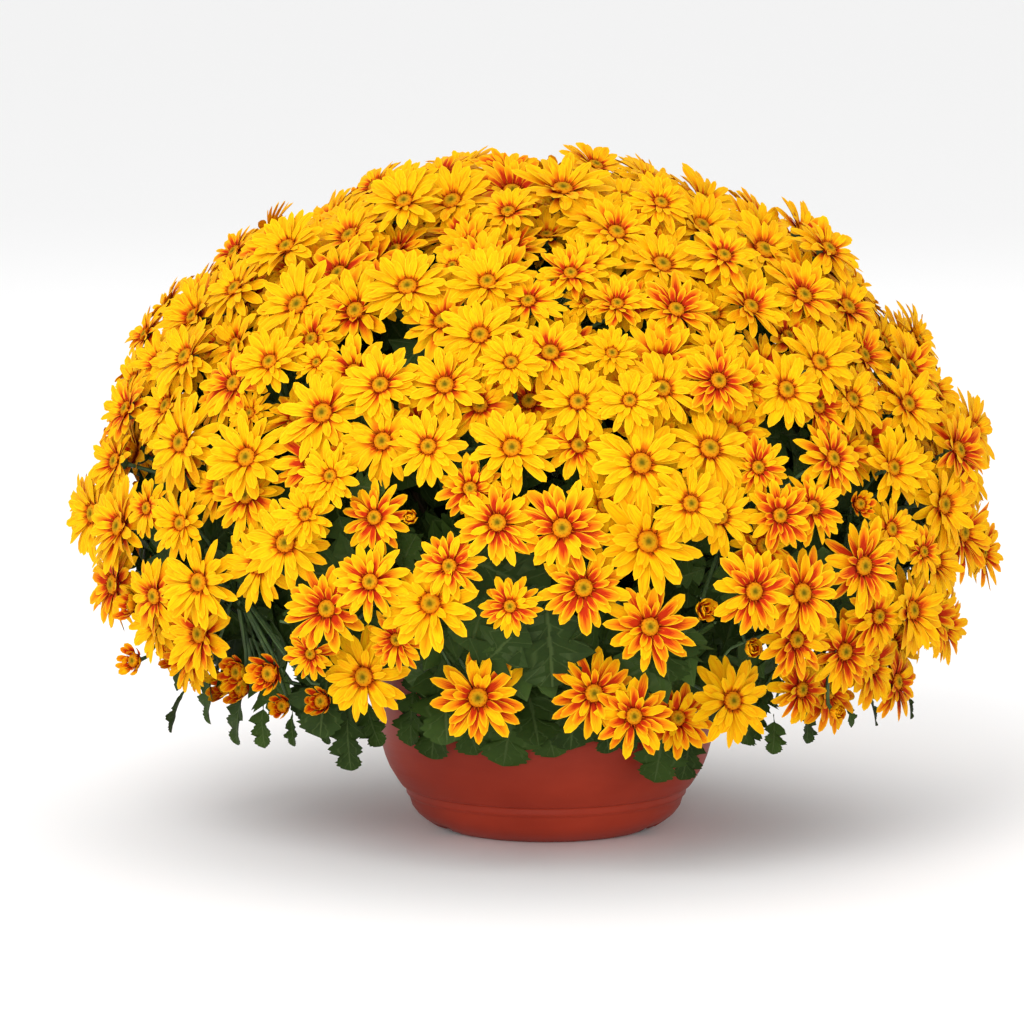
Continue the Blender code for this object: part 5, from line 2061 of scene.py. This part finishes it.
class HangingLeaves:
    """Leaves that the view shows over the pan's rim and under the flowers.

    Each is two pixels, its root's and its tip's, and the millimetres of each from the pan's axis.
    """

    spots = (
        (446, 676, 424, 757, 104, 118), (462, 684, 470, 754, 104, 115), (520, 678, 502, 765, 104, 119),
        (540, 684, 552, 756, 104, 116), (572, 690, 580, 744, 104, 114), (664, 712, 660, 780, 105, 116),
        (690, 726, 690, 777, 106, 116), (640, 700, 628, 750, 104, 113), (444, 636, 420, 700, 100, 110),
        (458, 640, 478, 704, 98, 108), (416, 680, 402, 744, 108, 120), (500, 650, 488, 716, 100, 112),
        (600, 700, 612, 752, 104, 114), (716, 596, 704, 664, 120, 130), (770, 650, 758, 706, 140, 150),
        (420, 640, 404, 690, 112, 122), (560, 640, 576, 700, 112, 122), (700, 640, 690, 700, 120, 130),
        (244, 690, 226, 742, 195, 204), (264, 700, 256, 746, 190, 198), (348, 706, 345, 770, 160, 168),
        (332, 700, 318, 742, 165, 172), (186, 688, 162, 727, 210, 220), (292, 712, 290, 746, 180, 184),
        (214, 668, 198, 722, 200, 208), (312, 676, 300, 722, 165, 174), (366, 700, 374, 744, 150, 158),
        (228, 640, 206, 676, 195, 205), (252, 650, 276, 700, 185, 195), (216, 610, 236, 652, 190, 200),
        (774, 715, 776, 752, 160, 168), (806, 706, 812, 742, 165, 172), (866, 690, 884, 722, 190, 200),
        (846, 700, 856, 726, 190, 196), (760, 700, 750, 742, 150, 158), (906, 690, 918, 716, 190, 200),
        (340, 606, 362, 656, 140, 150), (734, 606, 752, 668, 140, 150), (728, 640, 716, 690, 130, 140),
        (124, 516, 136, 574, 215, 225), (150, 550, 142, 600, 205, 215), (190, 540, 200, 590, 190, 200),
        (686, 556, 694, 606, 170, 180), (500, 612, 520, 664, 130, 142), (548, 640, 562, 690, 115, 128),
        (380, 300, 400, 346, 110, 120), (430, 304, 416, 350, 115, 125), (800, 420, 806, 456, 185, 190),
    )
    face_up = 0.5
    tilt = 0.18

    def share_out(self, stems: list[LeafyStem], seed: int) -> None:
        """Makes the leaves and gives each to the stem on its side.

        Args:
            stems: the stems, which gain leaves.
            seed: the seed of the random draws.
        """
        rng = np.random.default_rng(seed)
        for column, row, tip_column, tip_row, reach, tip_reach in self.spots:
            root = View.at_reach(column, row, reach / MM)
            way = View.at_reach(tip_column, tip_row, tip_reach / MM) - root
            along = unit(way)
            out = unit(np.array((root[0], root[1], 0.0))) + UP * self.face_up + rng.normal(0.0, self.tilt, 3)
            leaf = Leaf(root, along, unit(out - (out @ along) * along), float(np.linalg.norm(way)))
            stem_towards(stems, root).leaves.append(leaf)


class GapLeaves:
    """Leaves that lie facing outwards a little below the flowers, wherever the flowers leave a gap.

    The directions looked at are a sunflower spiral round the plant's middle. Each layer gives the least and
    the greatest depth below the flowers and the leaves' shortest and longest length.
    """

    directions = 900
    lowest = -0.22
    gap = 0.0180
    nearest = 3
    layers = (
        (0.020, 0.036, 0.044, 0.062), (0.042, 0.070, 0.056, 0.074),
    )
    tilt = 0.25
    root_share = 0.55

    def share_out(self, stems: list[LeafyStem], flowers: list[Flower], seed: int) -> None:
        """Makes the leaves and gives each to the stem on its side.

        Args:
            stems: the stems, which gain leaves.
            flowers: all the flowers.
            seed: the seed of the random draws.
        """
        rng = np.random.default_rng(seed)
        number = np.arange(self.directions) + 0.5
        height = self.lowest + (1 - self.lowest) * number / self.directions
        turn = number * math.pi * SPIRAL_TURN
        level = np.sqrt(1 - height**2)
        ways = np.stack([level * np.cos(turn), level * np.sin(turn), height], axis=1)
        offsets = of_all(flowers, "centre") - PLANT_MIDDLE
        spans = np.linalg.norm(offsets, axis=1)
        apart = np.arccos(np.clip(ways @ (offsets / spans[:, None]).T, -1.0, 1.0)) * spans
        reach = spans[np.argsort(apart, axis=1)[:, : self.nearest]].mean(axis=1)
        is_gap = apart.min(axis=1) > self.gap
        for way, distance in zip(ways[is_gap], reach[is_gap]):
            stem = stem_towards(stems, way)
            for shallow, deep, short, long in self.layers:
                length = float(rng.uniform(short, long))
                up = unit(way + rng.normal(0.0, self.tilt, 3))
                along = unit(np.cross(up, rng.normal(0.0, 1.0, 3)))
                middle = PLANT_MIDDLE + way * (distance - rng.uniform(shallow, deep))
                stem.gap_leaves.append(Leaf(middle - along * length * self.root_share, along, up, length))


class BlushChart:
    """How red each flower is: lower flowers are redder, and some are named by where the view shows them.

    Columns and rows are pixels of the view's frame, read one by one.
    """

    red = (
        (326, 608), (308, 654), (182, 655), (750, 590), (848, 652), (800, 640), (808, 690), (887, 620),
        (868, 566), (776, 545), (778, 515), (374, 517), (498, 523), (562, 528), (584, 588), (478, 697),
        (594, 693), (678, 718), (650, 626), (510, 606), (612, 350), (617, 300), (676, 305), (718, 383),
        (475, 487), (306, 457), (762, 465), (451, 565), (395, 640), (505, 177), (508, 206), (230, 378),
        (232, 672), (906, 665), (932, 612),
    )
    yellow = (
        (430, 603), (232, 490), (245, 455), (175, 440), (316, 514), (640, 463), (710, 445), (512, 447),
        (662, 386), (818, 360), (788, 387), (408, 283), (297, 300), (700, 224), (662, 259), (148, 622),
        (195, 582), (243, 565), (285, 542), (362, 677), (735, 700), (648, 541), (452, 196), (408, 212),
    )
    near = 26.0
    red_blush = 0.72
    yellow_blush = 0.10
    named_spread = (0.85, 1.15)
    top_blush = 0.25
    low_blush = 0.26
    top = 0.30
    depth = 0.20
    spread = 0.16
    # The filling flowers sit lower among the others, so their extra red is painted shade; the half-open
    # flowers and buds are redder in their own colour
    extra = {Habit.FULL: 0.0, Habit.FILL: 0.20, Habit.CUP: 0.6, Habit.BUD: 0.65}

    def paint(self, flowers: list[Flower], seed: int) -> None:
        """Sets every flower's blush.

        Args:
            flowers: all the flowers.
            seed: the seed of the random draws.
        """
        rng = np.random.default_rng(seed)
        centres = of_all(flowers, "centre")
        columns, rows = View.pixels(centres)
        away = np.where(of_all(flowers, "facing") @ -View.ahead > 0, 0.0, TURNED_AWAY)
        lowness = np.clip((self.top - centres[:, 2]) / self.depth, 0.0, 1.0)
        noise = rng.normal(0.0, self.spread, len(flowers))
        blushes = np.clip(self.top_blush + self.low_blush * lowness + noise, 0.0, 1.0)
        for spots, blush in ((self.red, self.red_blush), (self.yellow, self.yellow_blush)):
            for column, row in spots:
                span = np.hypot(columns - column, rows - row) + away
                index = int(span.argmin())
                if span[index] < self.near:
                    blushes[index] = blush * rng.uniform(*self.named_spread)
        for flower, blush in zip(flowers, blushes):
            flower.blush = float(np.clip(blush + self.extra[flower.habit], 0.0, 1.0))


class Studio:
    """A plain pale floor, soft light from above and the front, and the camera of the photograph.

    Each light has its name, its place, the side of its square and its power in watts.
    """

    floor_side = 60.0
    floor_colour = (0.93, 0.93, 0.93)
    floor_grain_colour = (0.88, 0.88, 0.88)
    floor_grain = 0.04
    floor_grain_scale = 3.0
    floor_roughness = 0.9
    floor_specular = 0.1
    sky = 0.96
    far_end = 100.0
    lights = (
        ("key", (-1.1, -2.5, 2.2), 1.8, 58.0), ("front", (-0.25, -3.5, 0.60), 0.8, 34.0),
        ("fill", (2.4, -2.0, 1.4), 2.0, 6.0), ("back", (0.3, 2.6, 2.4), 2.0, 12.0),
    )

    def build(self) -> None:
        """Makes the floor, the lights, the sky and the camera."""
        self.make_floor()
        for name, place, side, power in self.lights:
            lamp = bpy.data.lights.new(name, "AREA")
            lamp.size = side
            lamp.energy = power
            self.aimed(name, lamp, place)
        world = bpy.data.worlds.new("studio")
        world.use_nodes = True
        background = world.node_tree.nodes["Background"]
        background.inputs["Color"].default_value = (1.0, 1.0, 1.0, 1.0)
        background.inputs["Strength"].default_value = self.sky
        bpy.context.scene.world = world
        bpy.context.scene.view_settings.view_transform = "Standard"
        camera = bpy.data.cameras.new("camera")
        camera.lens = VIEW_LENS
        camera.sensor_width = VIEW_SENSOR
        camera.clip_end = self.far_end
        bpy.context.scene.camera = self.aimed("camera", camera, VIEW_FROM)

    def make_floor(self) -> None:
        """Makes the floor: one square with a faint grain."""
        half = self.floor_side / 2
        mesh = bpy.data.meshes.new("floor")
        corners = [(-half, -half, 0.0), (half, -half, 0.0), (half, half, 0.0), (-half, half, 0.0)]
        mesh.from_pydata(corners, [], [(0, 1, 2, 3)])
        graph = Graph("floor_pale")
        grain = graph.times(graph.noise(graph.place(), self.floor_grain_scale), self.floor_grain)
        colour = graph.mix(grain, self.floor_colour, self.floor_grain_colour)
        finish = graph.surface(colour, self.floor_roughness, Specular_IOR_Level=self.floor_specular)
        mesh.materials.append(finish)
        floor = bpy.data.objects.new("floor", mesh)
        bpy.context.scene.collection.objects.link(floor)

    @staticmethod
    def aimed(name: str, data: bpy.types.ID, place: Sequence[float]) -> Object:
        """Puts a light or a camera at a place, so that its -Z points at the plant.

        Args:
            name: the object's name.
            data: the light's or the camera's data.
            place: where it stands.

        Returns:
            The object.
        """
        holder = bpy.data.objects.new(name, data)
        holder.location = place
        holder.rotation_euler = (Vector(VIEW_AT) - holder.location).to_track_quat("-Z", "Y").to_euler()
        bpy.context.scene.collection.objects.link(holder)
        return holder


def clear_scene() -> None:
    """Removes every object."""
    for obj in list(bpy.data.objects):
        bpy.data.objects.remove(obj, do_unlink=True)


def grow_sprays(reader: SolidReader, nodes: dict) -> list[Spray]:
    """Reads the sprays from the solids, adds the second layer, leans the flowers and colours them.

    Args:
        reader: reads the solids.
        nodes: the frame's nodes by name.

    Returns:
        The sprays.
    """
    names = sorted(name for name in nodes if name.startswith("spray_"))
    sprays = [Spray(name, reader.flowers(nodes[name]), SPRAY_SEED + i) for i, name in enumerate(names)]
    HalfOpen().apply([flower for spray in sprays for flower in spray.flowers])
    Infill().grow(sprays, INFILL_SEED)
    Infill().grow_named(sprays)
    flowers = [flower for spray in sprays for flower in spray.flowers]
    Lean().apply(flowers)
    BlushChart().paint(flowers, BLUSH_SEED)
    LOG.info("read %d flowers in %d sprays", len(flowers), len(sprays))
    return sprays


def grow_stems(reader: SolidReader, nodes: dict, sprays: list[Spray]) -> list[LeafyStem]:
    """Reads the stems' leaves from the solids, adds the others and gives each spray to the nearest stem.

    Args:
        reader: reads the solids.
        nodes: the frame's nodes by name.
        sprays: the sprays.

    Returns:
        The stems.
    """
    names = sorted(name for name in nodes if name.startswith("leafy_stem_"))
    stems = [LeafyStem(name, i, reader.leaves(nodes[name]), STEM_SEED + i) for i, name in enumerate(names)]
    HangingLeaves().share_out(stems, HANGING_SEED)
    GapLeaves().share_out(stems, [flower for spray in sprays for flower in spray.flowers], GAP_SEED)
    for spray in sprays:
        stem_towards(stems, spray.hub() - PLANT_MIDDLE).sprays.append(spray)
    for stem in stems:
        LOG.info("%s: %d large leaves, %d branches", stem.node, len(stem.leaves), len(stem.sprays))
    return stems


def report(pieces: list[Object]) -> None:
    """Logs how many triangles each piece has."""
    counts = [sum(len(face.vertices) - 2 for face in piece.data.polygons) for piece in pieces]
    for piece, count in zip(pieces, counts):
        LOG.info("%s: %d triangles", piece.name, count)
    LOG.info("%d pieces, %d triangles", len(pieces), sum(counts))


def main() -> None:
    """Loads the frame, dresses each node and reports the pieces."""
    logging.basicConfig(level=logging.INFO, format="%(name)s: %(message)s")
    clear_scene()
    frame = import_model()
    reader = SolidReader()
    finishes = {
        "petal": PetalFinish().material(),
        "disc": DiscFinish().material(),
        "leaf": LeafFinish().material(),
        "stalk": StalkFinish().material(),
        "pan": PanFinish().material(),
        "soil": SoilFinish().material(),
    }
    sprays = grow_sprays(reader, frame["nodes"])
    flowers = [flower for spray in sprays for flower in spray.flowers]
    shade = Shade(of_all(flowers, "centre"), of_all(flowers, "facing"))
    pieces = Pan().build(finishes) + Soil().build(finishes)
    for stem in grow_stems(reader, frame["nodes"], sprays):
        pieces += stem.build(shade, finishes)
    for spray in sprays:
        pieces += spray.build(Greens(), shade, finishes)
    report(pieces)
    Studio().build()


if __name__ == "__main__":
    main()
